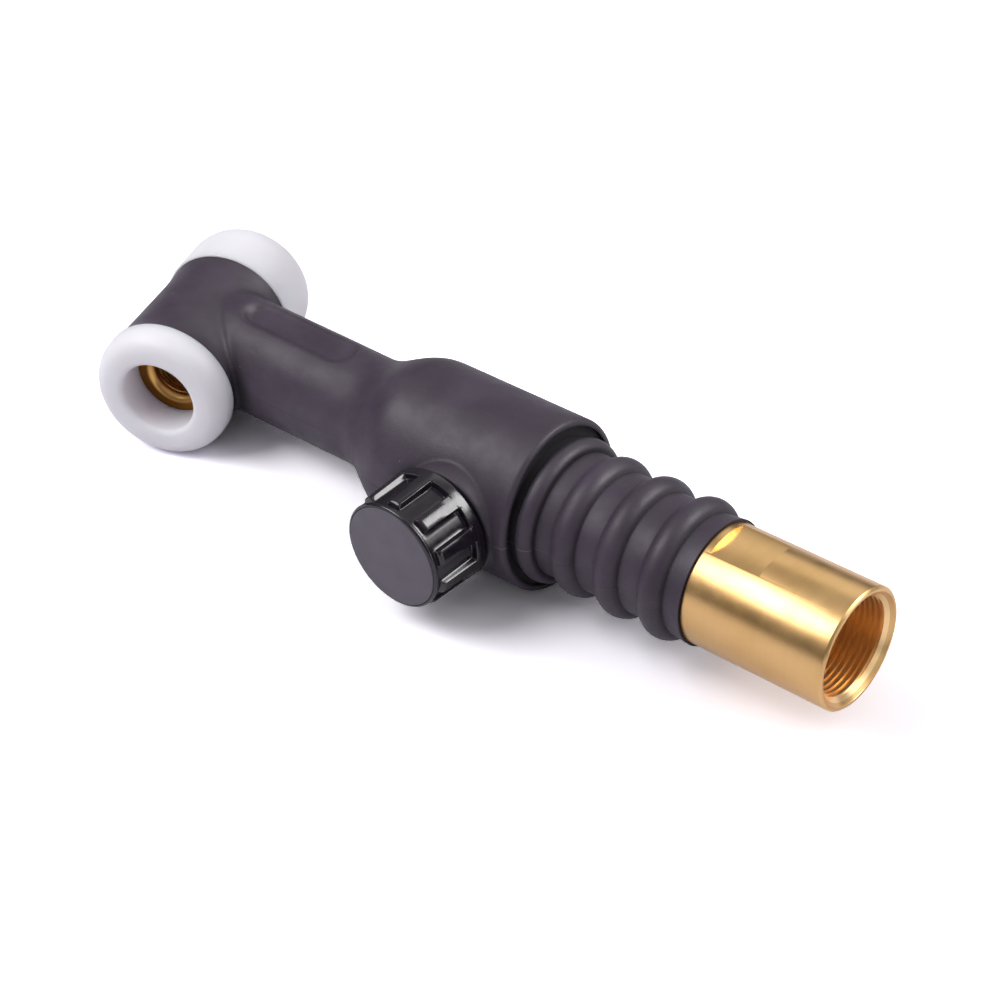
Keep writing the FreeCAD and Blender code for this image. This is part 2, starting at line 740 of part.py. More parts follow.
def make_neck_and_housing():
    """Oval neck that swells smoothly into the housing, with a rounded rear rim."""
    front = neck_section(
        "NeckFront",
        "head_station - neck_start",
        "neck_half_width + neck_taper",
        "neck_half_height + neck_taper",
        "neck_offset",
    )
    swell = []
    for step in range(SHOULDER_STEPS + 1):
        share = f"((1 - cos({step} * 180 deg / {SHOULDER_STEPS})) / 2)"
        swell.append(
            neck_section(
                f"Shoulder{step}",
                f"shoulder_front + (shoulder_back - shoulder_front) * {step} / {SHOULDER_STEPS}",
                f"neck_half_width + (housing_half_width - neck_half_width) * {share}",
                f"neck_half_height + (housing_half_height - neck_half_height) * {share}",
                f"neck_offset * (1 - {share})",
            )
        )
    rear = neck_section("HousingRear", "rim_station", "housing_half_width", "housing_half_height", "0")
    neck = lofted("Neck", [front, swell[0]], True)
    shoulder = lofted("Shoulder", swell, False)
    housing = lofted("Housing", [swell[-1], rear], True)
    doc.recompute()
    rear_face = value("-rim_station")
    rim = [
        index
        for index, edge in enumerate(housing.Shape.Edges, start=1)
        if abs(edge.BoundBox.XMin - rear_face) < TOLERANCE and edge.BoundBox.XLength < TOLERANCE
    ]
    rounded = doc.addObject("Part::Fillet", "RoundedRim")
    rounded.Base = housing
    rounded.Edges = [(index, value("rim_round"), value("rim_round")) for index in rim]
    doc.recompute()
    return [neck, shoulder, rounded]


def make_sleeve():
    """Collar, ribs and lip behind the housing."""
    collar_end = "(rim_station - collar_length)"
    corners = [
        ("-rim_station - sleeve_root", "0"),
        ("-rim_station - sleeve_root", "collar_radius"),
        ("-rim_station + collar_flat", "collar_radius", "collar_arc"),
        (f"-{collar_end}", "collar_foot"),
        (f"-{collar_end}", "first_land"),
    ]
    for rib in range(int(value("rib_count"))):
        middle = f"-rib_station + {rib} * rib_pitch"
        corners += [
            (f"{middle} - rib_width / 2", "land_radius", "rib_arc"),
            (f"{middle} + rib_width / 2", "land_radius"),
        ]
    corners += [("-lip_station", "lip_radius"), ("-lip_station", "0")]
    return turned("Sleeve", corners)


def make_neck_panel(name, sign):
    """Shallow panel with round ends, sunk along the neck."""
    place = {"y": "panel_offset", "z": "panel_floor" if sign > 0 else "-panel_floor - rim_station"}
    ends = [
        rod(name + "End" + str(index), "panel_half_width", "rim_station", x=x, **place)
        for index, x in enumerate(("-panel_front + panel_half_width", "-panel_back - panel_half_width"))
    ]
    middle = block(
        name + "Middle",
        "panel_front - panel_back - 2 * panel_half_width",
        "2 * panel_half_width",
        "rim_station",
        x="-panel_front + panel_half_width",
        y="panel_offset - panel_half_width",
        z=place["z"],
    )
    return fused(name, ends + [middle])


def make_rubber_body():
    """One moulding round everything between the white rings and the brass end."""
    head = turned(
        "HeadTube",
        [
            ("-nozzle_ring_base", "0"),
            ("-nozzle_ring_base", "head_radius_far", "-head_waist_arc"),
            ("cap_ring_base", "head_radius_near"),
            ("cap_ring_base", "0"),
        ],
        x="-head_station",
        turn=HEAD_TURN,
    )
    neck, shoulder, housing = make_neck_and_housing()
    moat = turned(
        "Moat",
        span("-rim_station - moat_depth", "-rim_station + moat_depth", "moat_radius"),
    )
    sleeve = make_sleeve()
    boss = rod("Boss", "boss_radius", "boss_face", x="-valve_station", axis=(1, 0, 0), angle=90)
    skin = fused("RubberSkin", [head, neck, shoulder, without("HousingShell", housing, moat), sleeve, boss])
    tube_way = turned("TubeWay", span("-head_station", HOSE_SEAT_END, "tube_radius"))
    head_way = turned(
        "HeadWay",
        span("-nozzle_ring_face", "cap_ring_face", "(ring_bore + barrel_radius) / 2"),
        x="-head_station",
        turn=HEAD_TURN,
    )
    valve_way = valve_part("ValveWay", span("-orifice_depth", "stub_face", "bush_radius"))
    inside = [doc.getObject(name) for name in MOULDED_IN]
    panels = [make_neck_panel("PanelTop", 1), make_neck_panel("PanelBottom", -1)]
    hollow = fused("RubberHollow", inside + [tube_way, head_way, valve_way] + panels)
    without("rubber_body", skin, hollow)


make_rear_connector()
make_rear_tube()
make_valve_body()
make_seat_insert()
make_gland()
make_valve_stem()
make_stem_o_rings()
make_retaining_ring()
make_knob()
make_knob_fittings()
make_head_core()
make_neck_tube()
make_insulator(
    "cap_insulator", "", "cap_ring_base", "cap_ring_face", "cap_ring_radius", "cap_spigot", "barrel_near"
)
make_insulator(
    "nozzle_insulator",
    "-",
    "nozzle_ring_base",
    "nozzle_ring_face",
    "nozzle_ring_radius",
    "nozzle_spigot",
    "barrel_far",
)
make_rubber_body()
doc.recompute()

PIECES = (
    "rubber_body",
    "cap_insulator",
    "nozzle_insulator",
    "head_core",
    "neck_tube",
    "valve_body",
    "seat_insert",
    "rear_tube",
    "rear_connector",
    "gland_seal",
    "gland_bush",
    "thrust_washer",
    "stem_o_rings",
    "retaining_ring",
    "valve_stem",
    "knob_insert",
    "knob",
    "knob_washer",
    "knob_screw",
    "knob_cap",
)

failed = [item.Name for item in doc.Objects if {"Invalid", "Error"} & set(item.State)]
if failed:
    raise RuntimeError(f"these objects failed: {failed}")
os.makedirs("parts", exist_ok=True)
for name in PIECES:
    shape = doc.getObject(name).Shape
    if shape.isNull() or not shape.isValid() or not shape.Solids:
        raise RuntimeError(f"{name} has no valid solid")
    shape.exportStep(f"parts/{name}.step")
    box = shape.BoundBox
    print(f"{name}: {len(shape.Solids)} solid, {shape.Volume:.1f} mm3, x {box.XMin:.1f} to {box.XMax:.1f}")
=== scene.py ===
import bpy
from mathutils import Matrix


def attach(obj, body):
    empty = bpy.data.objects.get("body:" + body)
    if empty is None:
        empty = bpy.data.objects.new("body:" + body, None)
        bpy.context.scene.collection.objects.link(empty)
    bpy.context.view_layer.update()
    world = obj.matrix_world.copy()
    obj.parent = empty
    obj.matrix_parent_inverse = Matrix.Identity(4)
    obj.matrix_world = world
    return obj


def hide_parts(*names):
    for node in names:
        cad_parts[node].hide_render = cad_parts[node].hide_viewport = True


bl_info = {
    "name": "TIG torch body",
    "version": (1, 0, 0),
    "blender": (4, 5, 0),
    "location": "3D View > Sidebar > Torch",
    "description": "Builds the visible pieces of a TIG torch body with a gas valve around its CAD frame",
    "category": "Object",
}

import math

import bmesh
import bpy
import numpy as np
from bpy.props import FloatProperty, FloatVectorProperty, IntProperty, PointerProperty
from mathutils import Matrix, Vector

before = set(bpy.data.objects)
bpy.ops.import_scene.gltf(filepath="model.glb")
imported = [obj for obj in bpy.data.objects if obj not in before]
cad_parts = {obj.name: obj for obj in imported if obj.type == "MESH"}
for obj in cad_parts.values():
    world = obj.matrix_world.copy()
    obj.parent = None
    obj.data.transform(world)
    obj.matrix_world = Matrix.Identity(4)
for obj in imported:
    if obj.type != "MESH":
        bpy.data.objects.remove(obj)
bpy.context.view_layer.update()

MM = 0.001

# Places that the pieces share with the frame
VALVE_X = -71.7 * MM
HEAD_X = -143.7 * MM
HEAD_LEAN = math.radians(20.6)
HEAD_AXIS = Vector((math.sin(HEAD_LEAN), -math.cos(HEAD_LEAN), 0))
REAR = (Vector((0, 0, 0)), Vector((1, 0, 0)))
VALVE = (Vector((VALVE_X, 0, 0)), Vector((0, -1, 0)))
HEAD = (Vector((HEAD_X, 0, 0)), HEAD_AXIS)

# The metal inside, as in the CAD part: radii, lengths, and places along the axes. The head's places count
# from the torch axis, each to its own side
BARREL_RADIUS, BARREL_NEAR, BARREL_FAR = 8.5 * MM, 13.3 * MM, 14.0 * MM
SPIGOT_RADIUS, SPIGOT_NEAR, SPIGOT_FAR = 10.2 * MM, 10.0 * MM, 4.5 * MM
HUB_RADIUS, HUB_LENGTH = 6.2 * MM, 14.5 * MM
TUBE_RADIUS = 5.0 * MM
BLOCK_RADIUS, BLOCK_HALF = 9.0 * MM, 11 * MM
GLAND_RADIUS = 7.2 * MM
SHANK_RADIUS, SHANK_FRONT = 7.6 * MM, -35.3 * MM
CONNECTOR_FRONT = -25.3 * MM

# Soft edge of the neck's panels, and the least height of the rubber that they are pressed into
PANEL_EDGE = 0.6 * MM
PANEL_LOWEST = 8.5 * MM

# Roundings of the knob's rear edge and of its ribs' front ends, and rows of points across a blend
KNOB_REAR_ROUND = 0.5 * MM
KNOB_RIB_ROUND = 0.9 * MM
BLEND_ROWS = [0.5 - row / 8 for row in range(9)]

# Rings that the tool leaves in brass, as wide as they are drawn
TOOL_MARKS = 0.3 * MM

# The painted highlight on the collar's front edge, drawn as a pale line: how far ahead of the origin, and its
# largest radius
COLLAR_HIGHLIGHT_AHEAD = 57.1 * MM
COLLAR_HIGHLIGHT_WITHIN = 13.3 * MM

# The photograph's viewpoint
CAMERA_PLACE = Vector((145.6, -231.0, 238.1)) * MM
CAMERA_RIGHT = Vector((0.755, 0.654, -0.054))
CAMERA_FORWARD = Vector((-0.544, 0.578, -0.608))


def linear(hex_colour):
    """Linear RGB of an sRGB hex colour."""
    shares = [int(hex_colour[i : i + 2], 16) / 255 for i in (1, 3, 5)]
    return [c / 12.92 if c <= 0.04045 else ((c + 0.055) / 1.055) ** 2.4 for c in shares]


def length(name, description, millimetres):
    """A length property, given in millimetres."""
    return FloatProperty(
        name=name,
        description=description,
        default=millimetres * MM,
        precision=5,
        unit="LENGTH",
        subtype="DISTANCE",
    )


def number(name, description, default):
    """A property for a plain number."""
    return FloatProperty(name=name, description=description, default=default)


def count(name, description, default, least, most=100):
    """A property for a whole number."""
    return IntProperty(name=name, description=description, default=default, min=least, max=most)


def colour(name, description, hex_colour):
    """A colour property, given as sRGB hex."""
    return FloatVectorProperty(
        name=name,
        description=description,
        default=linear(hex_colour),
        min=0,
        max=1,
        subtype="COLOR",
    )


class RubberSizes(bpy.types.PropertyGroup):
    """Moulded rubber covering."""

    tube_radius: length("Head tube", "Head tube's radius at the torch axis", 11.97)
    tube_taper: number("Taper", "Head tube's growth towards the near ring", 0.024)
    near_radius: length("Near end", "Head tube's radius at the near ring", 12.76)
    near_flare: length("Near flare", "Length of the flare behind the near ring", 3.2)
    far_radius: length("Far end", "Head tube's radius at the far ring", 12.15)
    far_flare: length("Far flare", "Length of the flare before the far ring", 7.0)
    near_end: length("Near end height", "Rubber's near end along the head axis", 15.5)
    far_end: length("Far end height", "Rubber's far end along the head axis", 9.0)
    neck_width: length("Neck half width", "Neck in the plane of head and knob", 9.5)
    neck_height: length("Neck half height", "Neck across that plane", 10.4)
    neck_growth: length("Neck growth", "Growth of both towards the head", 0.3)
    neck_offset: length("Neck offset", "Neck's middle, away from the knob", 1.15)
    shoulder_front: length("Shoulder start", "Start of the swell, ahead of the origin", 102.3)
    shoulder_back: length("Shoulder end", "End of the swell, ahead of the origin", 86.8)
    housing_width: length("Housing half width", "Housing in the plane of head and knob", 14.6)
    housing_height: length("Housing half height", "Housing across that plane", 15.8)
    rim: length("Rim", "Inner edge of the housing's rear face, ahead of the origin", 58.4)
    rim_dish: length("Rim dish", "How far the rear face's outer edge lies behind its inner one", 0.4)
    rim_width: length("Rim width", "Width of the rear face", 2.0)
    rim_round: length("Rim rounding", "Rounding of the rear face's outer edge", 0.9)
    boss_radius: length("Boss", "Boss behind the knob", 9.95)
    boss_offset: length("Boss offset", "Boss's middle, behind the knob's axis", 1.0)
    boss_face: length("Boss face", "Height of the boss's face", 14.8)
    boss_round: length("Boss rounding", "Rounding of the boss's edge", 0.5)
    moat_wall: length("Groove wall", "Wall outside the groove round the collar", 1.15)
    moat_depth: length("Groove depth", "Depth of that groove", 0.7)
    collar_radius: length("Collar", "Collar behind the rim", 12.9)
    gutter_depth: length("Gutter", "Depth of the gutter in front of the collar", 0.8)
    gutter_width: length("Gutter width", "Width of its floor behind the housing's rear face", 0.8)
    collar_end: length("Collar end", "Collar's end, ahead of the origin", 54.5)
    collar_foot: length("Collar foot", "Collar's radius where it ends", 11.6)
    land_front: length("First land", "Sleeve's radius behind the collar", 11.1)
    land: length("Land", "Sleeve's radius between the ribs", 10.6)
    lip: length("Lip", "Sleeve's radius at its end", 10.95)
    lip_end: length("Lip end", "Sleeve's end, ahead of the origin", 25.3)
    rib_first: length("First rib", "Middle of the front rib, ahead of the origin", 48.9)
    rib_pitch: length("Rib pitch", "From rib to rib", 8.85)
    rib_width: length("Rib width", "Rib at its foot", 4.8)
    rib_height: length("Rib height", "Rib above the land", 1.7)
    rib_count: count("Ribs", "Number of ribs", 3, 1, 8)
    panel_front: length("Panel front", "Front end of the sunk panel on the neck", 132.2)
    panel_back: length("Panel back", "Rear end of the sunk panel on the neck", 106.4)
    panel_width: length("Panel half width", "Half the panel's width", 3.0)
    panel_offset: length("Panel offset", "Panel's middle line, away from the knob", 1.7)
    panel_floor: length("Panel floor", "Panel's floor, from the torch axis", 9.2)
    voxel: length("Mesh size", "Mesh size of the soft blend", 0.3)
    smoothing: count("Smoothing", "Rounds of smoothing of the blends", 3, 0)
    fillet: length("Fillet", "Reach of the fillet between head and neck", 2.5)
    fillet_smoothing: count("Fillet rounds", "Rounds of smoothing of that fillet", 40, 0)


class RingSizes(bpy.types.PropertyGroup):
    """White insulating rings."""

    bore: length("Bore", "Bore of both rings at the barrel", 7.3)
    mouth_bore: length("Mouth", "Bore of both rings at the mouth", 7.0)
    mouth: length("Mouth rounding", "Rounding of the bores' mouths", 1.0)
    near_radius: length("Near ring", "Near ring's radius", 12.82)
    near_face: length("Near face", "Near ring's face along the head axis", 20.9)
    near_round: length("Near rounding", "Near ring's outer rounding, along the axis", 3.65)
    far_radius: length("Far ring", "Far ring's radius", 12.48)
    far_face: length("Far face", "Far ring's face along the head axis", 21.6)
    far_round: length("Far rounding", "Far ring's outer rounding, along the axis", 5.0)
    round_depth: length("Rounding depth", "Depth of both outer roundings, across the axis", 2.75)


class BrassSizes(bpy.types.PropertyGroup):
    """Turned brass connector and the threads."""

    radius: length("Radius", "Outside of the brass end", 10.5)
    chamfer: length("Chamfer", "Chamfer on the outer edge", 0.4)
    mouth_radius: length("Countersink", "Countersink at the end face", 9.6)
    mouth_depth: length("Countersink depth", "Depth in front of the thread", 1.2)
    thread_minor: length("Thread crest", "Minor radius of the hose thread", 8.46)
    thread_major: length("Thread root", "Major radius of the hose thread", 9.0)
    thread_pitch: length("Thread pitch", "Pitch of the hose thread", 1.0)
    thread_length: length("Thread length", "Length of the hose thread", 14.0)
    flat: length("Flat height", "Height of the spanner flats", 9.5)
    flat_front: length("Flat start", "Rear end of the flats, ahead of the origin", 14.6)
    flat_length: length("Flat length", "Length of the flats", 9.3)
    cap_pitch: length("Cap thread pitch", "Pitch of the back-cap thread", 0.75)


class KnobSizes(bpy.types.PropertyGroup):
    """Valve knob and its disc."""

    back: length("Back", "Height of the rear edge", 15.2)
    front: length("Front", "Height of the face under the disc", 26.2)
    back_radius: length("Back radius", "Outside at the rear edge", 10.5)
    front_radius: length("Front radius", "Outside at the front of the ribs", 10.2)
    floor: length("Pocket floor", "Radius of the pockets' floors", 9.35)
    flange: length("Flange", "Height of the pockets' rear walls", 17.4)
    rib_front: length("Rib front", "Height of the ribs' front ends", 25.3)
    pocket_angle: FloatProperty(
        name="Pocket",
        description="Width of a pocket round the knob",
        default=math.radians(20.5),
        subtype="ANGLE",
    )
    pockets: count("Pockets", "Number of pockets", 10, 3)
    wall: length("Wall blend", "Width of a pocket's side walls, with their roundings", 0.42)
    bead: length("Bead", "Bead round the disc, above the pockets' floors", 0.42)
    bead_half: length("Bead half width", "Half the bead's width, along the axis", 0.45)
    bead_front: length("Bead front", "Height of the bead's front", 26.72)
    disc_seat: length("Disc seat", "Wall round the disc", 9.32)
    disc_radius: length("Disc", "Radius of the grey disc", 9.2)
    disc_thickness: length("Disc thickness", "Thickness of the grey disc", 0.7)


class TorchColours(bpy.types.PropertyGroup):
    """Colours of the finishes."""

    rubber: colour("Rubber", "Silicone rubber", "#382D3C")
    rubber_dust: colour("Rubber bloom", "Pale bloom and scuffs on the rubber", "#584D5F")
    ring: colour("Rings", "White insulator", "#F4F1FD")
    brass: colour("Brass", "Turned brass", "#E4BA80")
    brass_dark: colour("Handled brass", "Slightly tarnished brass", "#D0A163")
    copper: colour("Copper", "Drawn copper tube", "#C27A52")
    knob: colour("Knob", "Gloss black moulding", "#1B131E")
    disc: colour("Disc", "Matte grey disc", "#635D68")
    steel: colour("Steel", "Zinc-plated steel", "#A9ABAF")
    seal: colour("Seals", "Black sealing rubber", "#1C1B1C")
    fibre: colour("Fibre", "Red fibre washer", "#7E3526")
    seat: colour("Seat", "Turned valve-seat plastic", "#DDD9CC")


class StudioSettings(bpy.types.PropertyGroup):
    """Camera, lights and floor."""

    focal: FloatProperty(name="Focal length", description="Camera lens", default=84.283, unit="CAMERA")
    floor: colour("Floor", "Floor and backdrop", "#DFDDE3")
    horizon: number("Horizon", "Level of the studio's walls at floor height", 0.04)
    zenith: number("Ceiling", "Level of the studio's ceiling", 0.56)
    gain: number("Floor gain", "How much lighter the camera sees the floor than it is", 2.3)
    mirrored: number("Mirrored gain", "The same, in mirrors", 1.25)


SETTINGS = {
    "torch_rubber": RubberSizes,
    "torch_rings": RingSizes,
    "torch_brass": BrassSizes,
    "torch_knob": KnobSizes,
    "torch_colours": TorchColours,
    "torch_studio": StudioSettings,
}


# Mesh work


def axis_matrix(origin, direction):
    """Places a mesh drawn along its own X axis on an axis of the torch."""
    along = direction.normalized()
    up = Vector((0, 0, 1))
    side = up.cross(along)
    turn = Matrix((along, side, up)).transposed()
    return Matrix.Translation(origin) @ turn.to_4x4()


def eased(share):
    """A share between 0 and 1, with soft ends."""
    return share * share * (3 - 2 * share)


def fading(distance, reach):
    """Weights of 1 near an edge, which fall from 0.4 of the reach to 0 at 1.4 of it."""
    return np.clip(1.4 - distance / reach, 0, 1)


def corner_arc(x, r, wide, tall, start):
    """Points of a quarter ellipse about (x, r), from the start angle in degrees, a quarter turn on."""
    steps = 8
    points = []
    for step in range(steps + 1):
        angle = math.radians(start + 90 * step / steps)
        points.append((x + wide * math.cos(angle), r + tall * math.sin(angle)))
    return points


def rounded(corners, steps=5):
    """Rounds the corners of a closed outline. A corner is (x, r) or (x, r, radius)."""
    points = []
    for index, corner in enumerate(corners):
        here = Vector(corner[:2])
        if len(corner) < 3:
            points.append(tuple(here))
            continue
        before = Vector(corners[index - 1][:2]) - here
        after = Vector(corners[(index + 1) % len(corners)][:2]) - here
        half = before.angle(after) / 2
        reach = min(corner[2] / math.tan(half), 0.49 * before.length, 0.49 * after.length)
        radius = reach * math.tan(half)
        centre = here + (before.normalized() + after.normalized()).normalized() * (radius / math.sin(half))
        start = here + before.normalized() * reach - centre
        end = here + after.normalized() * reach - centre
        swing = start.angle_signed(end)
        for step in range(steps + 1):
            turn = -swing * step / steps
            point = centre + Matrix.Rotation(turn, 2) @ start
            points.append(tuple(point))
    return points


def oval(bm, segments, x, middle, wide, tall):
    """A ring of points across the X axis."""
    angles = [2 * math.pi * step / segments for step in range(segments)]
    return [bm.verts.new((x, middle + wide * math.cos(a), tall * math.sin(a))) for a in angles]


def lathe(bm, outline, segments=192, closed=True):
    """Turns an outline of (x, r) points about the X axis. Points on the axis become poles."""
    rings = []
    for x, r in outline:
        on_axis = r < 1e-7
        rings.append([bm.verts.new((x, 0, 0))] if on_axis else oval(bm, segments, x, 0, r, r))
    pairs = list(zip(rings, rings[1:]))
    if closed and len(rings[0]) > 1:
        pairs.append((rings[-1], rings[0]))
    for first, second in pairs:
        join_rings(bm, first, second)


def join_rings(bm, first, second):
    """Faces between two rings of points, or between a ring and a pole."""
    longest = max(len(first), len(second))
    if longest == 1:
        return
    for step in range(longest):
        following = (step + 1) % longest
        corners = [first[step % len(first)], first[following % len(first)]]
        corners += [second[following % len(second)], second[step % len(second)]]
        bm.faces.new(list(dict.fromkeys(corners)))


def tube_through(bm, sections, segments=192):
    """A closed solid through ovals across the X axis, each (x, middle y, half width, half height)."""
    rings = [oval(bm, segments, *section) for section in sections]
    for first, second in zip(rings, rings[1:]):
        join_rings(bm, first, second)
    bm.faces.new(rings[0])
    bm.faces.new(list(reversed(rings[-1])))


def threaded_wall(bm, mouth, depth, crest, root, pitch, segments=192):
    """A helical thread on a bore's wall, from x = mouth down to x = mouth - depth, plain at both ends."""
    turns = math.ceil(depth / pitch) + 1
    runout = 0.6 * pitch
    profile = [0, 0, 0.35, 0.85, 1, 1, 0.85, 0.35, 0, 0, 0, 0]
    rows = len(profile)
    grid = []
    for column in range(segments):
        angle = 2 * math.pi * column / segments
        line = []
        for row in range(-rows, turns * rows + 1):
            down = (row + rows * column / segments) * pitch / rows
            down = min(max(down, 0), depth)
            fade = min(1, down / runout, (depth - down) / runout)
            r = crest + (root - crest) * profile[row % rows] * fade
            line.append(bm.verts.new((mouth - down, r * math.cos(angle), r * math.sin(angle))))
        grid.append(line)
    # Past the last column the first one follows, a whole pitch further down
    for here, beside in zip(grid, [*grid[1:], grid[0][rows:]]):
        for row in range(len(beside) - 1):
            bm.faces.new((here[row], beside[row], beside[row + 1], here[row + 1]))


def clean(bm):
    """Merges points that coincide, drops empty faces and turns all faces outwards."""
    reach = 0.002 * MM
    bmesh.ops.remove_doubles(bm, verts=bm.verts, dist=reach)
    bmesh.ops.dissolve_degenerate(bm, edges=bm.edges, dist=reach / 2)
    bmesh.ops.delete(bm, geom=[v for v in bm.verts if not v.link_faces], context="VERTS")
    bmesh.ops.recalc_face_normals(bm, faces=bm.faces)


def mesh_object(name, bm, axis=None, sharp=35):
    """Makes an object from a bmesh, placed on an axis of the torch, smooth below the sharp angle."""
    if axis:
        bm.transform(axis_matrix(*axis))
    mesh = bpy.data.meshes.new(name)
    bm.to_mesh(mesh)
    bm.free()
    item = bpy.data.objects.new(name, mesh)
    bpy.context.scene.collection.objects.link(item)
    soften(mesh, sharp)
    return item


def soften(mesh, sharp):
    """Smooth shading, with edges above the sharp angle kept crisp."""
    mesh.shade_smooth()
    mesh.set_sharp_from_angle(angle=math.radians(sharp))


def turned(name, outline, axis, segments=192):
    """A turned solid from one outline."""
    bm = bmesh.new()
    lathe(bm, outline, segments)
    clean(bm)
    return mesh_object(name, bm, axis)


def add_piece(bm, piece, place):
    """Moves a bmesh to its place and adds it to another."""
    piece.transform(place)
    mesh = bpy.data.meshes.new("piece")
    piece.to_mesh(mesh)
    piece.free()
    bm.from_mesh(mesh)
    bpy.data.meshes.remove(mesh)


def points_of(mesh):
    """A mesh's points as an array, one row each."""
    points = np.empty(len(mesh.vertices) * 3, np.float32)
    mesh.vertices.foreach_get("co", points)
    return points.reshape(-1, 3)


def apply_modifiers(item):
    """Applies an object's modifiers to its mesh."""
    bpy.context.view_layer.update()
    depsgraph = bpy.context.evaluated_depsgraph_get()
    mesh = bpy.data.meshes.new_from_object(item.evaluated_get(depsgraph))
    item.modifiers.clear()
    old = item.data
    item.data = mesh
    bpy.data.meshes.remove(old)


def combine(item, tool, operation="DIFFERENCE"):
    """Cuts a closed tool out of an item, or joins it on, and removes the tool."""
    modifier = item.modifiers.new("Cut", "BOOLEAN")
    modifier.operation = operation
    modifier.solver = "MANIFOLD"
    modifier.object = tool
    apply_modifiers(item)
    mesh = tool.data
    bpy.data.objects.remove(tool)
    bpy.data.meshes.remove(mesh)
    if not item.data.polygons:
        raise RuntimeError(f"{item.name} has no faces left")


def finish_piece(item, material, body, node):
    """Gives a piece its material and its body, and hides the CAD node that it stands for."""
    item.data.materials.clear()
    item.data.materials.append(material)
    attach(item, body)
    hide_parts(node)


# Materials


def add_node(tree, kind, inputs=None, **settings):
    """Adds a node with its settings. An input is a value, a socket, or a node whose result feeds it."""
    node = tree.nodes.new("ShaderNode" + kind)
    for name, setting in settings.items():
        setattr(node, name, setting)
    for key, source in (inputs or {}).items():
        live = [socket for socket in node.inputs if socket.enabled]
        socket = live[key] if isinstance(key, int) else next(one for one in live if one.name == key)
        if isinstance(source, bpy.types.Node):
            source = next(output for output in source.outputs if output.enabled)
        if isinstance(source, bpy.types.NodeSocket):
            tree.links.new(source, socket)
        elif socket.type == "RGBA":
            socket.default_value = (*source[:3], 1)
        else:
            socket.default_value = source
    return node


def new_material(name):
    """A new material, its empty tree and its object coordinates."""
    material = bpy.data.materials.new(name)
    material.use_nodes = True
    tree = material.node_tree
    tree.nodes.clear()
    place = add_node(tree, "TexCoord").outputs["Object"]
    return material, tree, place


def patches(tree, place, size, low, high, bottom=0.0, top=1.0, detail=3.0, stretch=(1, 1, 1)):
    """Soft patches about as large as size: noise between low and high, as a value from bottom to top."""
    scale = [1 / (size * part) for part in stretch]
    spread = add_node(tree, "Mapping", {"Vector": place, "Scale": scale})
    cloud = add_node(tree, "TexNoise", {"Vector": spread, "Scale": 1.0, "Detail": detail})
    limits = {"From Min": low, "From Max": high, "To Min": bottom, "To Max": top}
    return add_node(tree, "MapRange", {"Value": cloud, **limits}, interpolation_type="SMOOTHSTEP")


def two_tones(tree, place, first, second, *cloud):
    """Two tones of a finish, the second in soft clouds. The last values are those that patches takes."""
    tones = {"Factor": patches(tree, place, *cloud), "A": first, "B": second}
    return add_node(tree, "Mix", tones, data_type="RGBA")


def waves(tree, place, size, depth, below=None, detail=3.0, stretch=(1, 1, 1)):
    """Relief in waves about as large as size and as high as depth, on top of the relief below."""
    height = patches(tree, place, size, 0.2, 0.8, detail=detail, stretch=stretch)
    relief = {"Height": height, "Distance": depth}
    if below:
        relief["Normal"] = below
    return add_node(tree, "Bump", relief)


def coated(tree, surface, relief, **values):
    """Ends a material: its shader with colour, relief and the shader's own values."""
    sockets = {name.replace("_", " "): value for name, value in values.items()}
    shader = add_node(tree, "BsdfPrincipled", {**sockets, "Base Color": surface, "Normal": relief})
    add_node(tree, "OutputMaterial", {"Surface": shader})


def dust_grains(tree, place):
    """Single grains of dust, one in about four of ten cells of a 4.5 mm grid."""
    cells = add_node(tree, "TexVoronoi", {"Vector": place, "Scale": 1 / (4.5 * MM)}).outputs
    grain = {"Value": cells["Distance"], "From Min": 0.018, "From Max": 0.03, "To Min": 1.0, "To Max": 0.0}
    grain = add_node(tree, "MapRange", grain)
    drawn = add_node(tree, "SeparateXYZ", {"Vector": cells["Color"]}).outputs["X"]
    kept = add_node(tree, "Math", {0: drawn, 1: 0.6}, operation="GREATER_THAN")
    return add_node(tree, "Math", {0: grain, 1: kept}, operation="MULTIPLY")


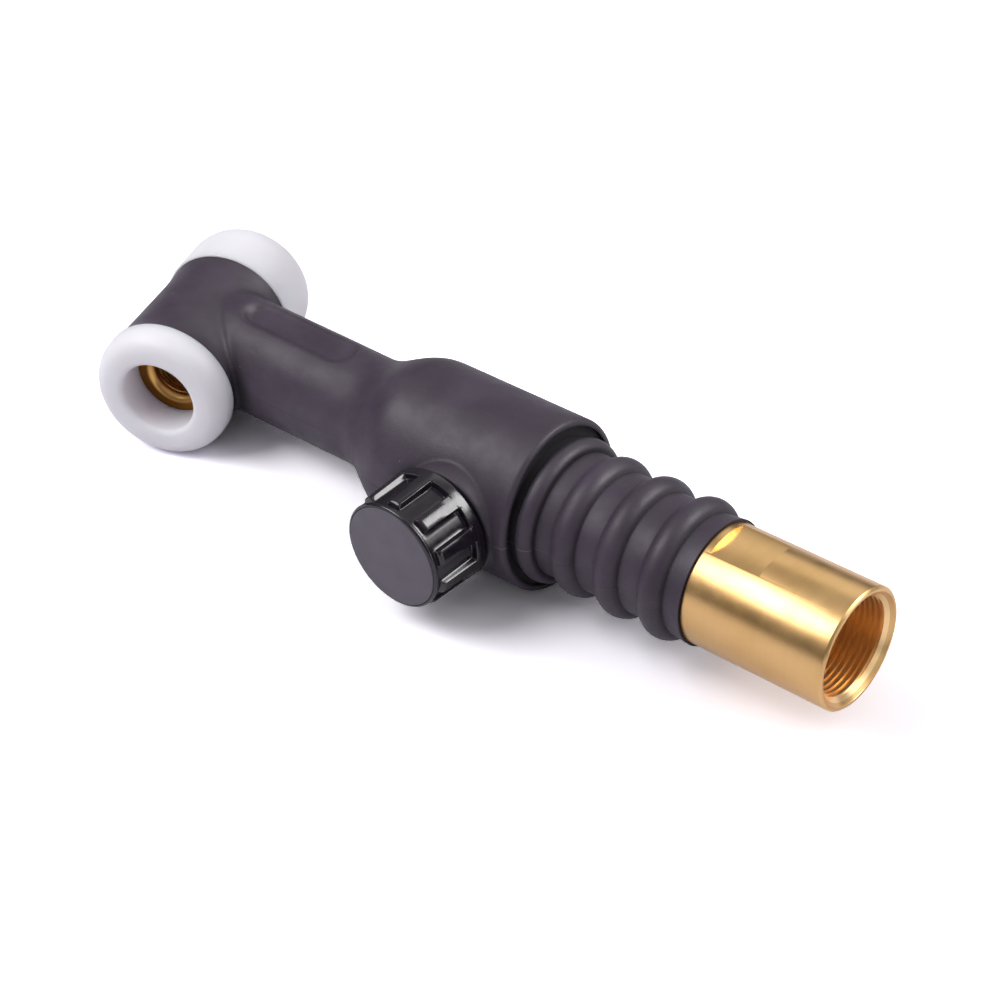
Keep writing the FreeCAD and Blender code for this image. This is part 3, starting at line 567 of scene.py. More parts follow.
def mould_lines(tree, place):
    """Lines of flash where parts of the mould meet, with painted shade on their dark part and a painted
    highlight round the collar: how strong they are, and how pale.
    """
    part = add_node(tree, "SeparateXYZ", {"Vector": place}).outputs
    # Its two halves meet where z is 0
    height = add_node(tree, "Math", {0: part["Z"]}, operation="ABSOLUTE")
    line = {"Value": height, "From Min": 0.05 * MM, "From Max": 0.16 * MM, "To Min": 1.0, "To Max": 0.0}
    line = add_node(tree, "MapRange", line, interpolation_type="SMOOTHSTEP")
    broken = patches(tree, place, 5 * MM, 0.4, 0.6, 0.15, 0.6)
    line = add_node(tree, "Math", {0: line, 1: broken}, operation="MULTIPLY")
    # Their line is drawn dark on the neck and the ribs, as painted shade of a small step, and pale flash from
    # the housing's middle to the collar
    ahead = {"Value": part["X"], "From Min": -75 * MM, "From Max": -65 * MM}
    ahead = add_node(tree, "MapRange", ahead)
    behind = {"Value": part["X"], "From Min": -52 * MM, "From Max": -50 * MM}
    behind = add_node(tree, "MapRange", {**behind, "To Min": 1.0, "To Max": 0.15})
    pale = add_node(tree, "Math", {0: ahead, 1: behind}, operation="MULTIPLY")
    # Another line, pale all round, circles the front of the collar: a painted highlight on its front edge
    across = add_node(tree, "CombineXYZ", {"Y": part["Y"], "Z": part["Z"]})
    across = add_node(tree, "VectorMath", {0: across}, operation="LENGTH").outputs["Value"]
    collar = add_node(tree, "Math", {0: across, 1: COLLAR_HIGHLIGHT_WITHIN}, operation="LESS_THAN")
    collar_highlight = add_node(tree, "Math", {0: part["X"], 1: COLLAR_HIGHLIGHT_AHEAD}, operation="ADD")
    collar_highlight = add_node(tree, "Math", {0: collar_highlight}, operation="ABSOLUTE")
    collar_highlight = {"Value": collar_highlight, "From Min": 0.08 * MM, "From Max": 0.2 * MM, "To Min": 1.0, "To Max": 0.0}
    collar_highlight = add_node(tree, "MapRange", collar_highlight, interpolation_type="SMOOTHSTEP")
    collar_highlight = add_node(tree, "Math", {0: collar_highlight, 1: collar}, operation="MULTIPLY")
    broken = patches(tree, place, 3 * MM, 0.4, 0.6, 0.3, 0.9)
    collar_highlight = add_node(tree, "Math", {0: collar_highlight, 1: broken}, operation="MULTIPLY")
    strength = add_node(tree, "Math", {0: line, 1: collar_highlight}, operation="MAXIMUM")
    return strength, add_node(tree, "Math", {0: pale, 1: collar_highlight}, operation="MAXIMUM")


def silicone_rubber(colours):
    """Silicone rubber, compression moulded: a dull sheen with handling clouds, dust and mould lines, painted
    shade in its recesses and along a line, and a painted highlight round the collar.
    """
    material, tree, place = new_material("silicone_rubber_moulded")
    handled = patches(tree, place, 9 * MM, 0.35, 0.7, 0.0, 0.3, 4)
    scuffed = patches(tree, place, 1.2 * MM, 0.6, 0.8, 0.0, 0.3, 6, (3, 1, 1))
    bloom = add_node(tree, "Math", {0: handled, 1: scuffed}, operation="MAXIMUM")
    surface = {"Factor": bloom, "A": colours.rubber, "B": colours.rubber_dust}
    surface = add_node(tree, "Mix", surface, data_type="RGBA")
    surface = {"Factor": dust_grains(tree, place), "A": surface, "B": linear("#8B8790")}
    surface = add_node(tree, "Mix", surface, data_type="RGBA")
    lines, pale = mould_lines(tree, place)
    # The lines' tone: dark where it is painted shade, pale where it is flash, and pale as a painted highlight
    # round the collar
    shade = {"Factor": pale, "A": linear("#1B171D"), "B": linear("#726A77")}
    shade = add_node(tree, "Mix", shade, data_type="RGBA")
    surface = add_node(tree, "Mix", {"Factor": lines, "A": surface, "B": shade}, data_type="RGBA")
    # Painted shade: recesses within 4 mm of other rubber are drawn darker, and also duller, to match the real
    # one's tones
    open_part = add_node(tree, "AmbientOcclusion", {"Distance": 4 * MM}, samples=8).outputs["AO"]
    tarnish_and_painted_shade = {"Value": open_part, "From Min": 0.5, "From Max": 0.95, "To Min": 0.25, "To Max": 1.0}
    tarnish_and_painted_shade = add_node(tree, "MapRange", tarnish_and_painted_shade)
    surface = add_node(tree, "VectorMath", {0: surface, "Scale": tarnish_and_painted_shade}, operation="SCALE")
    relief = waves(tree, place, 0.35 * MM, 0.012 * MM)
    relief = waves(tree, place, 4 * MM, 0.03 * MM, relief, detail=2)
    relief = add_node(tree, "Bump", {"Height": lines, "Distance": 0.05 * MM, "Normal": relief})
    rough = patches(tree, place, 6 * MM, 0.3, 0.7, 0.46, 0.58)
    duller = add_node(tree, "MapRange", {"Value": tarnish_and_painted_shade, "To Min": 0.28, "To Max": 0.0})
    rough = add_node(tree, "Math", {0: rough, 1: duller}, operation="ADD")
    coated(tree, surface, relief, Roughness=rough, IOR=1.52)
    return material


def white_insulator(colours):
    """PTFE, turned and polished: milky white, light soaks in a little, very soft gloss."""
    material, tree, place = new_material("ptfe_turned")
    surface = two_tones(tree, place, colours.ring, linear("#F0EDFA"), 5 * MM, 0.3, 0.75, 0.0, 0.3)
    relief = waves(tree, place, 1.8 * MM, 0.02 * MM)
    relief = waves(tree, place, 0.3 * MM, 0.004 * MM, relief, detail=2)
    rough = patches(tree, place, 3 * MM, 0.3, 0.7, 0.36, 0.46)
    soaked = {"Subsurface_Weight": 0.7, "Subsurface_Scale": 5 * MM, "Subsurface_Radius": (1.0, 0.9, 0.8)}
    coated(tree, surface, relief, Roughness=rough, IOR=1.38, **soaked)
    return material


def turned_brass(name, bright, dull, around, painted_face_shade=False, painted_thread_light=False):
    """Brass, turned and left bare: a soft gloss, tarnished in clouds, with faint rings from the tool; where
    asked, painted light on the hose thread or painted shade on the barrel's face.
    """
    material, tree, place = new_material(name)
    tarnish = patches(tree, place, 7 * MM, 0.35, 0.75, 0.0, 0.4, 2, (1.6, 1, 1))
    # Tool marks tint the metal alone, about three times as far apart as real ones so that they show
    marks = patches(tree, place, TOOL_MARKS, 0.25, 0.75, detail=1, stretch=around)
    streaks = add_node(tree, "Math", {0: marks, 1: 0.1}, operation="MULTIPLY")
    tarnish_and_painted_shade = add_node(tree, "Math", {0: tarnish, 1: streaks}, operation="ADD")
    surface = add_node(tree, "Mix", {"Factor": tarnish_and_painted_shade, "A": bright, "B": dull}, data_type="RGBA")
    if painted_thread_light:
        # Painted light: the hose thread's flanks, within 9.1 mm of the axis, are drawn brighter than the
        # outside
        away = add_node(tree, "VectorMath", {0: place, 1: (0, 1, 1)}, operation="MULTIPLY")
        away = add_node(tree, "VectorMath", {0: away}, operation="LENGTH").outputs["Value"]
        inside = add_node(tree, "Math", {0: away, 1: 9.1 * MM}, operation="LESS_THAN")
        surface = {"Factor": inside, "A": surface, "B": linear("#FFD9A2")}
        surface = add_node(tree, "Mix", surface, data_type="RGBA")
    if painted_face_shade:
        # Painted shade: the barrel's face outside its rounded mouth is drawn dark brown
        away = add_node(tree, "VectorMath", {0: place, 1: HEAD[0]}, operation="SUBTRACT")
        away = add_node(tree, "VectorMath", {0: away, 1: HEAD_AXIS}, operation="CROSS_PRODUCT")
        away = add_node(tree, "VectorMath", {0: away}, operation="LENGTH").outputs["Value"]
        face_shade = {"Value": away, "From Min": 5.0 * MM, "From Max": 6.0 * MM}
        face_shade = add_node(tree, "MapRange", face_shade, interpolation_type="SMOOTHSTEP")
        surface = {"Factor": face_shade, "A": surface, "B": linear("#8C5F26")}
        surface = add_node(tree, "Mix", surface, data_type="RGBA")
    relief = waves(tree, place, 5 * MM, 0.008 * MM, detail=1)
    rough = patches(tree, place, 2.5 * MM, 0.3, 0.7, 0.29, 0.34)
    coated(tree, surface, relief, Metallic=1.0, Roughness=rough)
    return material


def drawn_copper(colours):
    """Copper tube, drawn: soft pink metal with long faint lines."""
    material, tree, place = new_material("copper_drawn")
    surface = two_tones(tree, place, colours.copper, linear("#9C5B3B"), 5 * MM, 0.3, 0.7, 0.0, 0.5)
    relief = waves(tree, place, 0.3 * MM, 0.005 * MM, stretch=(40, 1, 1))
    coated(tree, surface, relief, Metallic=1.0, Roughness=0.32)
    return material


def gloss_moulding(colours):
    """Phenolic plastic, moulded against polished steel: deep black gloss with a slight orange peel."""
    material, tree, place = new_material("phenolic_gloss_moulded")
    surface = two_tones(tree, place, colours.knob, linear("#221A26"), 3 * MM, 0.4, 0.8, 0.0, 0.4)
    relief = waves(tree, place, 2.0 * MM, 0.004 * MM, detail=1)
    rough = patches(tree, place, 1.2 * MM, 0.35, 0.7, 0.16, 0.24, 4)
    coated(tree, surface, relief, Roughness=rough, IOR=1.58)
    return material


def matte_disc(colours):
    """Polypropylene disc, moulded against a fine spark-eroded face: even, dull grey."""
    material, tree, place = new_material("polypropylene_fine_texture")
    surface = two_tones(tree, place, colours.disc, linear("#4E4A54"), 4 * MM, 0.3, 0.75, 0.0, 0.3)
    relief = waves(tree, place, 0.25 * MM, 0.006 * MM, detail=2)
    coated(tree, surface, relief, Roughness=0.55, IOR=1.49)
    return material


def plain_finish(name, first, second, roughness, metallic=0.0):
    """A finish for small fittings: two near colours and a fine grain."""
    material, tree, place = new_material(name)
    surface = two_tones(tree, place, first, second, 1.5 * MM, 0.3, 0.7)
    relief = waves(tree, place, 0.5 * MM, 0.006 * MM, detail=2)
    coated(tree, surface, relief, Metallic=metallic, Roughness=roughness)
    return material


# Pieces


class TORCH_OT_studio(bpy.types.Operator):
    """Camera, softboxes, pale floor and a room with a bright ceiling"""

    bl_idname = "torch.studio"
    bl_label = "Studio"

    def execute(self, context):
        studio = context.scene.torch_studio
        self.set_camera(context, studio)
        self.set_floor(studio)
        self.set_lights(context)
        self.set_world(context, studio)
        context.scene.view_settings.view_transform = "Standard"
        return {"FINISHED"}

    def set_camera(self, context, studio):
        """The photograph's viewpoint."""
        camera = bpy.data.cameras.new("Camera")
        camera.lens = studio.focal
        camera.clip_end = 20
        item = bpy.data.objects.new("Camera", camera)
        right = CAMERA_RIGHT.normalized()
        forward = CAMERA_FORWARD.normalized()
        up = right.cross(forward).normalized()
        right = forward.cross(up)
        turn = Matrix((right, up, -forward)).transposed()
        item.matrix_world = Matrix.Translation(CAMERA_PLACE) @ turn.to_4x4()
        context.scene.collection.objects.link(item)
        context.scene.camera = item

    def set_floor(self, studio):
        """A floor that touches both rings and the housing, with its shadow on white."""
        half = 3.0
        slope_x, slope_y, height = -0.03776, -0.00458, -18.116 * MM
        bm = bmesh.new()
        corners = [(-half, -half), (half, -half), (half, half), (-half, half)]
        bm.faces.new([bm.verts.new((x, y, height + slope_x * x + slope_y * y)) for x, y in corners])
        bmesh.ops.subdivide_edges(bm, edges=bm.edges, cuts=7, use_grid_fill=True)
        floor = mesh_object("floor", bm)
        floor.data.materials.append(self.paper(studio))

    def paper(self, studio):
        """White backdrop paper, which the camera and mirrors see lighter than it lights the object."""
        material, tree, place = new_material("paper_backdrop")
        mottle = patches(tree, place, 40 * MM, 0.3, 0.7, 0.0, 0.15)
        tones = {"Factor": mottle, "A": studio.floor, "B": linear("#D8D6DC")}
        surface = add_node(tree, "Mix", tones, data_type="RGBA")
        path = add_node(tree, "LightPath").outputs
        mirrored = {0: path["Is Glossy Ray"], 1: path["Is Transmission Ray"]}
        mirrored = add_node(tree, "Math", mirrored, operation="MAXIMUM")
        # Mirrors pass the gain on to the camera, and not to the floor round them
        straight = {0: path["Diffuse Depth"], 1: 0.5}
        straight = add_node(tree, "Math", straight, operation="LESS_THAN")
        mirrored = add_node(tree, "Math", {0: mirrored, 1: straight}, operation="MULTIPLY")
        gain = {"Value": mirrored, "To Min": 1.0, "To Max": studio.mirrored}
        gain = add_node(tree, "MapRange", gain)
        gain = {"Value": path["Is Camera Ray"], "To Min": gain, "To Max": studio.gain}
        gain = add_node(tree, "MapRange", gain)
        surface = add_node(tree, "VectorMath", {0: surface, "Scale": gain}, operation="SCALE")
        fibres = patches(tree, place, 1 * MM, 0.2, 0.8)
        relief = add_node(tree, "Bump", {"Height": fibres, "Distance": 0.005 * MM})
        matte = add_node(tree, "BsdfDiffuse", {"Color": surface, "Normal": relief})
        add_node(tree, "OutputMaterial", {"Surface": matte})
        return material

    def set_lights(self, context):
        """Soft panels round the object. Two of them show in gloss alone, and a level of 1 is white there."""
        target = Vector((-70, 0, 0)) * MM
        for name, direction, distance, wide, tall, level, lights_all in (
            ("panel_above_head", (-0.44, -0.47, 0.77), 0.8, 0.50, 0.42, 5.8, True),
            ("panel_behind_right", (0.50, 0.57, 0.65), 0.8, 0.34, 0.36, 9.0, False),
            ("panel_right", (0.62, 0.45, 0.65), 0.9, 0.70, 0.70, 1.8, True),
            ("panel_before_thread", (0.97, 0.10, 0.10), 0.9, 0.60, 0.26, 2.0, False),
            ("panel_above", (-0.25, 0.75, 0.60), 0.9, 0.60, 0.50, 0.7, True),
        ):
            light = bpy.data.lights.new(name, "AREA")
            light.shape = "RECTANGLE"
            light.size, light.size_y = wide, tall
            light.energy = level * math.pi * wide * tall
            item = bpy.data.objects.new(name, light)
            away = Vector(direction).normalized()
            item.location = target + away * distance
            item.rotation_euler = away.to_track_quat("Z", "Y").to_euler()
            item.visible_diffuse = lights_all
            context.scene.collection.objects.link(item)

    def set_world(self, context, studio):
        """Dark walls under a bright ceiling, all of it white to the camera."""
        world = bpy.data.worlds.new("studio")
        context.scene.world = world
        world.use_nodes = True
        tree = world.node_tree
        tree.nodes.clear()
        direction = add_node(tree, "TexCoord").outputs["Generated"]
        height = add_node(tree, "SeparateXYZ", {"Vector": direction}).outputs["Z"]
        levels = {"Value": height, "From Min": 0.1, "To Min": studio.horizon, "To Max": studio.zenith}
        level = add_node(tree, "MapRange", levels)
        seen = add_node(tree, "LightPath").outputs["Is Camera Ray"]
        level = add_node(tree, "Math", {0: level, 1: seen}, operation="MAXIMUM")
        background = add_node(tree, "Background", {"Color": (1, 1, 1), "Strength": level})
        add_node(tree, "OutputWorld", {"Surface": background})


class TORCH_OT_rubber_body(bpy.types.Operator):
    """Rubber covering in one moulding, with softly blended forms"""

    bl_idname = "torch.rubber_body"
    bl_label = "Rubber covering"

    def execute(self, context):
        sizes = context.scene.torch_rubber
        bm = bmesh.new()
        self.head_tube(bm, sizes)
        tube_through(bm, self.ovals(sizes))
        self.boss(bm, sizes)
        bmesh.ops.recalc_face_normals(bm, faces=bm.faces)
        body = mesh_object("rubber_covering", bm)
        blend_step = body.modifiers.new("Blend", "REMESH")
        blend_step.mode = "VOXEL"
        blend_step.voxel_size = sizes.voxel
        apply_modifiers(body)
        self.press_panels(body, sizes)
        self.smooth_blends(body, sizes)
        combine(body, self.moat(sizes))
        combine(body, turned("sleeve", self.sleeve(sizes), REAR, 256), "UNION")
        for tool in self.hollows(sizes):
            combine(body, tool)
        soften(body.data, sharp=40)
        rubber = silicone_rubber(context.scene.torch_colours)
        finish_piece(body, rubber, "torch", "rubber_body")
        return {"FINISHED"}

    def head_tube(self, bm, sizes):
        """Tube across the head, flared towards the rings and longer than needed at both ends."""
        spare, steps = 2 * MM, 32
        points = []
        for step in range(steps + 1):
            x = -sizes.far_end - spare + (sizes.near_end + sizes.far_end + 2 * spare) * step / steps
            radius = sizes.tube_radius + sizes.tube_taper * x
            for end, wanted, flare in (
                (sizes.near_end, sizes.near_radius, sizes.near_flare),
                (-sizes.far_end, sizes.far_radius, -sizes.far_flare),
            ):
                rise = wanted - sizes.tube_radius - sizes.tube_taper * end
                radius += rise * max(0, 1 - (end - x) / flare) ** 2
            points.append((x, radius))
        outline = [(points[0][0], 0), *points, (points[-1][0], 0)]
        piece = bmesh.new()
        lathe(piece, outline)
        add_piece(bm, piece, axis_matrix(*HEAD))

    def ovals(self, sizes):
        """Sections of the neck, from inside the head tube, the swell, the housing and its rounded rim."""
        grown_width = sizes.neck_width + sizes.neck_growth
        grown_height = sizes.neck_height + sizes.neck_growth
        sections = [(HEAD_X + 4 * MM, sizes.neck_offset, grown_width, grown_height)]
        steps, run, foot_round = 24, 3 * MM, 0.2 * MM
        for step in range(steps + 1):
            swell = (1 - math.cos(math.pi * step / steps)) / 2
            sections.append(
                (
                    -sizes.shoulder_front + (sizes.shoulder_front - sizes.shoulder_back) * step / steps,
                    sizes.neck_offset * (1 - swell),
                    sizes.neck_width + (sizes.housing_width - sizes.neck_width) * swell,
                    sizes.neck_height + (sizes.housing_height - sizes.neck_height) * swell,
                )
            )
        corner = (-sizes.rim + sizes.rim_dish, 0)
        foot = (-sizes.rim, -sizes.rim_width)
        rim = [
            (corner[0] - run, 0),
            (*corner, sizes.rim_round),
            (*foot, foot_round),
            (foot[0], foot[1] - run),
        ]
        for x, inset in rounded(rim, 6)[:-1]:
            sections.append((x, 0, sizes.housing_width + inset, sizes.housing_height + inset))
        return sections

    def moat(self, sizes):
        """A tool for the groove between the housing's wall and the collar."""
        floor = -sizes.rim - sizes.moat_depth
        wide, tall = sizes.housing_width - sizes.moat_wall, sizes.housing_height - sizes.moat_wall
        bm = bmesh.new()
        tube_through(bm, [(floor, 0, wide, tall), (0, 0, wide, tall)], 256)
        clean(bm)
        return mesh_object("moat", bm)

    def sleeve(self, sizes):
        """Outline of the collar, ribs and lip, from inside the housing to past the lip."""
        inside, past_lip = 3 * MM, 2 * MM
        collar_steps, rib_steps = 10, 16
        root = -sizes.rim - inside
        gutter = sizes.collar_radius - sizes.gutter_depth
        foot = -sizes.rim + sizes.gutter_width
        outline = [
            (root, 0),
            (root, gutter),
            (foot, gutter),
            (foot + 0.25 * MM, gutter + 0.45 * sizes.gutter_depth),
            (foot + 0.6 * MM, gutter + 0.85 * sizes.gutter_depth),
        ]
        start, end = foot + 1.1 * MM, -sizes.collar_end
        for step in range(collar_steps + 1):
            angle = math.radians(90 * step / collar_steps)
            drop = (sizes.collar_radius - sizes.collar_foot) * (1 - math.cos(angle))
            outline.append((start + (end - start) * math.sin(angle), sizes.collar_radius - drop))
        outline.append((end, sizes.land_front))
        for rib in range(sizes.rib_count):
            middle = -sizes.rib_first + rib * sizes.rib_pitch
            for step in range(rib_steps + 1):
                across = -1 + 2 * step / rib_steps
                lift = sizes.rib_height * (1 - across**2) ** 0.62
                outline.append((middle + across * sizes.rib_width / 2, sizes.land + lift))
        outline.append((-sizes.lip_end, sizes.lip))
        outline += [(-sizes.lip_end + past_lip, sizes.lip), (-sizes.lip_end + past_lip, 0)]
        return outline

    def boss(self, bm, sizes):
        """Round boss that the knob turns on."""
        outline = rounded(
            [
                (0, 0),
                (0, sizes.boss_radius),
                (sizes.boss_face, sizes.boss_radius, sizes.boss_round),
                (sizes.boss_face, 0),
            ]
        )
        piece = bmesh.new()
        lathe(piece, outline)
        middle = VALVE[0] + Vector((sizes.boss_offset, 0, 0))
        add_piece(bm, piece, axis_matrix(middle, VALVE[1]))

    def press_panels(self, body, sizes):
        """Presses the shallow panels into the neck's top and bottom, with soft edges."""
        mesh = body.data
        co = points_of(mesh)
        within = sizes.panel_width - self.from_panel(co, sizes)
        inside = eased(np.clip(within / PANEL_EDGE + 0.5, 0, 1))
        height = np.abs(co[:, 2])
        depth = np.maximum(height - sizes.panel_floor, 0) * inside
        co[:, 2] -= np.where(height > PANEL_LOWEST, np.sign(co[:, 2]) * depth, 0)
        mesh.vertices.foreach_set("co", co.ravel())
        mesh.update()

    def from_panel(self, co, sizes):
        """How far points lie from the middle line of the panels, as seen from above."""
        middle_front = -sizes.panel_front + sizes.panel_width
        middle_back = -sizes.panel_back - sizes.panel_width
        along = np.clip(co[:, 0], middle_front, middle_back)
        return np.hypot(co[:, 0] - along, co[:, 1] - sizes.panel_offset)

    def smooth_blends(self, body, sizes):
        """Smooths the joint of head and neck to a fillet, the panels' walls, and then the whole a little."""
        co = points_of(body.data).astype(float)
        away = co - np.array(HEAD[0])
        along = away @ np.array(HEAD_AXIS)
        from_head = np.sqrt((away**2).sum(1) - along**2) - sizes.tube_radius
        outwards = np.hypot((co[:, 1] - sizes.neck_offset) / sizes.neck_width, co[:, 2] / sizes.neck_height)
        from_neck = (outwards - 1) * sizes.neck_width
        weight = fading(np.abs(from_head) + np.abs(from_neck), sizes.fillet)
        weight[co[:, 0] < HEAD_X] = 0
        from_wall = np.abs(self.from_panel(co, sizes) - sizes.panel_width)
        wall = fading(from_wall, PANEL_EDGE)
        weight = np.maximum(weight, np.where(np.abs(co[:, 2]) > PANEL_LOWEST, wall, 0))
        joint = body.vertex_groups.new(name="joint")
        for index in np.flatnonzero(weight > 0):
            joint.add([int(index)], float(weight[index]), "REPLACE")
        for rounds, group in ((sizes.fillet_smoothing, joint.name), (sizes.smoothing, "")):
            smooth = body.modifiers.new("Smooth", "SMOOTH")
            smooth.factor = 0.5
            smooth.iterations = rounds
            smooth.vertex_group = group
        apply_modifiers(body)

    def hollows(self, sizes):
        """Closed tools that trim the ends and clear the metal inside."""
        far, wide, around = 40 * MM, 24 * MM, 15 * MM
        yield turned(
            "head_hollow",
            [
                (-far, 0),
                (-far, around),
                (-sizes.far_end, around),
                (-sizes.far_end, SPIGOT_RADIUS),
                (-SPIGOT_FAR, SPIGOT_RADIUS),
                (-SPIGOT_FAR, BARREL_RADIUS),
                (SPIGOT_NEAR, BARREL_RADIUS),
                (SPIGOT_NEAR, SPIGOT_RADIUS),
                (sizes.near_end, SPIGOT_RADIUS),
                (sizes.near_end, around),
                (far, around),
                (far, 0),
            ],
            HEAD,
        )
        yield turned(
            "torch_hollow",
            [
                (HEAD_X, 0),
                (HEAD_X, HUB_RADIUS),
                (HEAD_X + HUB_LENGTH, HUB_RADIUS),
                (HEAD_X + HUB_LENGTH, TUBE_RADIUS),
                (VALVE_X - BLOCK_HALF, TUBE_RADIUS),
                (VALVE_X - BLOCK_HALF, BLOCK_RADIUS),
                (VALVE_X + BLOCK_HALF, BLOCK_RADIUS),
                (VALVE_X + BLOCK_HALF, TUBE_RADIUS),
                (SHANK_FRONT, TUBE_RADIUS),
                (SHANK_FRONT, SHANK_RADIUS),
                (-sizes.lip_end, SHANK_RADIUS),
                (-sizes.lip_end, wide),
                (far, wide),
                (far, 0),
            ],
            REAR,
        )
        yield turned("valve_hollow", [(0, 0), (0, GLAND_RADIUS), (wide, GLAND_RADIUS), (wide, 0)], VALVE)


class TORCH_OT_rings(bpy.types.Operator):
    """The two white insulating rings of the head"""

    bl_idname = "torch.rings"
    bl_label = "White rings"

    def execute(self, context):
        sizes = context.scene.torch_rings
        rubber = context.scene.torch_rubber
        material = white_insulator(context.scene.torch_colours)
        for side, node, axis, base, barrel, spigot in (
            ("near", "cap_insulator", HEAD, rubber.near_end, BARREL_NEAR, SPIGOT_NEAR),
            ("far", "nozzle_insulator", (HEAD[0], -HEAD_AXIS), rubber.far_end, BARREL_FAR, SPIGOT_FAR),
        ):
            own = (f"{side}_face", f"{side}_radius", f"{side}_round")
            face, radius, rounding = (getattr(sizes, key) for key in own)
            mouth, depth = sizes.mouth, sizes.round_depth
            outline = [
                (barrel, sizes.bore),
                *corner_arc(face - mouth, sizes.mouth_bore + mouth, mouth, mouth, -90),
                *corner_arc(face - rounding, radius - depth, rounding, depth, 0),
                (base + 0.15 * MM, radius + 0.02 * MM),
                (base, radius - 0.1 * MM),
                (base, SPIGOT_RADIUS),
                (spigot, SPIGOT_RADIUS),
                (spigot, BARREL_RADIUS),
                (barrel, BARREL_RADIUS),
            ]
            ring = turned(f"{side}_ring", outline, axis, 256)
            finish_piece(ring, material, "torch", node)
        return {"FINISHED"}


class TORCH_OT_connector(bpy.types.Operator):
    """Turned brass end with its hose thread and spanner flats"""

    bl_idname = "torch.connector"
    bl_label = "Brass connector"

    def execute(self, context):
        sizes = context.scene.torch_brass
        bm = bmesh.new()
        threaded_wall(bm, 0, sizes.thread_length, sizes.thread_minor, sizes.thread_major, sizes.thread_pitch)
        edge = sizes.radius - sizes.chamfer
        outside = [
            (sizes.mouth_depth, sizes.mouth_radius, 0.15 * MM),
            (sizes.mouth_depth, edge, 0.15 * MM),
            (sizes.mouth_depth - sizes.chamfer, sizes.radius, 0.2 * MM),
            (CONNECTOR_FRONT, sizes.radius, 0.25 * MM),
            (CONNECTOR_FRONT, SHANK_RADIUS),
        ]
        outline = [(0, sizes.thread_minor), *rounded(outside, 4)]
        # Grooves that the rubber grips, in the CAD part's places
        groove = 6.8 * MM
        for back, front in ((-27.3 * MM, -29.3 * MM), (-31.3 * MM, -33.3 * MM)):
            outline += [(back, SHANK_RADIUS), (back, groove), (front, groove), (front, SHANK_RADIUS)]
        tube_seat, passage = -17.0 * MM, 6.2 * MM
        outline += [
            (SHANK_FRONT, SHANK_RADIUS),
            (SHANK_FRONT, TUBE_RADIUS),
            (tube_seat, TUBE_RADIUS),
            (tube_seat, passage),
            (-sizes.thread_length, passage),
            (-sizes.thread_length, sizes.thread_minor),
        ]
        lathe(bm, outline, closed=False)
        clean(bm)
        connector = mesh_object("brass_connector", bm, REAR, sharp=30)
        for side in (1, -1):
            combine(connector, self.flat_tool(sizes, side))
        soften(connector.data, sharp=30)
        colours = context.scene.torch_colours
        brass = turned_brass("brass_turned", colours.brass, colours.brass_dark, (1, 60, 60), painted_thread_light=True)
        finish_piece(connector, brass, "torch", "rear_connector")
        return {"FINISHED"}

    def flat_tool(self, sizes, side):
        """A block that cuts one spanner flat."""
        bm = bmesh.new()
        tall = 6 * MM
        centre = Vector((-sizes.flat_front - sizes.flat_length / 2, 0, side * (sizes.flat + tall / 2)))
        size = Matrix.Diagonal((sizes.flat_length, 3 * sizes.radius, tall, 1))
        bmesh.ops.create_cube(bm, size=1, matrix=Matrix.Translation(centre) @ size)
        return mesh_object("flat_tool", bm)


class TORCH_OT_head_core(bpy.types.Operator):
    """Brass barrel of the head, threaded at both ends"""

    bl_idname = "torch.head_core"
    bl_label = "Head barrel"

    def execute(self, context):
        brass = context.scene.torch_brass
        segments, bore = 160, 3.0 * MM
        near, far, cone, lip = BARREL_NEAR, -BARREL_FAR, 1.3 * MM, 1.5 * MM
        cap_crest, cap_root, cap_length = 4.4 * MM, 4.85 * MM, 9.5 * MM
        collet_crest, collet_root, collet_length = 4.6 * MM, 5.15 * MM, 9.0 * MM
        cap_floor = near - lip - cap_length
        collet_floor = far + cone + collet_length
        bm = bmesh.new()
        threaded_wall(bm, near - lip, cap_length, cap_crest, cap_root, brass.cap_pitch, segments)
        lower = bmesh.new()
        threaded_wall(lower, -far - cone, collet_length, collet_crest, collet_root, brass.cap_pitch, segments)
        add_piece(bm, lower, Matrix.Rotation(math.pi, 4, "Z"))
        entry = [(far, 7.2 * MM, 0.3 * MM), (far + cone, 4.9 * MM, 0.3 * MM), (far + cone, collet_crest)]
        outside = [(near, BARREL_RADIUS), (far, BARREL_RADIUS)]
        for outline in (
            [(cap_floor, bore), (cap_floor, cap_crest)],
            [*corner_arc(near - lip, cap_crest + lip, lip, lip, -90), *outside, *rounded(entry, 4)],
            [(collet_floor, collet_crest), (collet_floor, bore), (cap_floor, bore)],
        ):
            lathe(bm, outline, segments, closed=False)
        clean(bm)
        core = mesh_object("head_barrel", bm, HEAD, sharp=30)
        neck = (HEAD[0], Vector((1, 0, 0)))
        start, end = 5.3 * MM, HUB_LENGTH
        hub = [(start, 0), (start, HUB_RADIUS), (end, HUB_RADIUS), (end, 0)]
        combine(core, turned("hub_tool", hub, neck, 96), "UNION")
        passage, seat, end = 3.6 * MM, 9.5 * MM, 16 * MM
        way = [(0, 0), (0, passage), (seat, passage), (seat, TUBE_RADIUS), (end, TUBE_RADIUS), (end, 0)]
        combine(core, turned("way_tool", way, neck, 96))
        soften(core.data, sharp=30)
        dull = context.scene.torch_colours.brass
        # The barrel's brass is drawn darker than the connector's, as painted shade inside the near ring
        material = turned_brass("brass_turned_head", linear("#D6A55F"), dull, (30, 2, 30), painted_face_shade=True)
        finish_piece(core, material, "torch", "head_core")
        return {"FINISHED"}


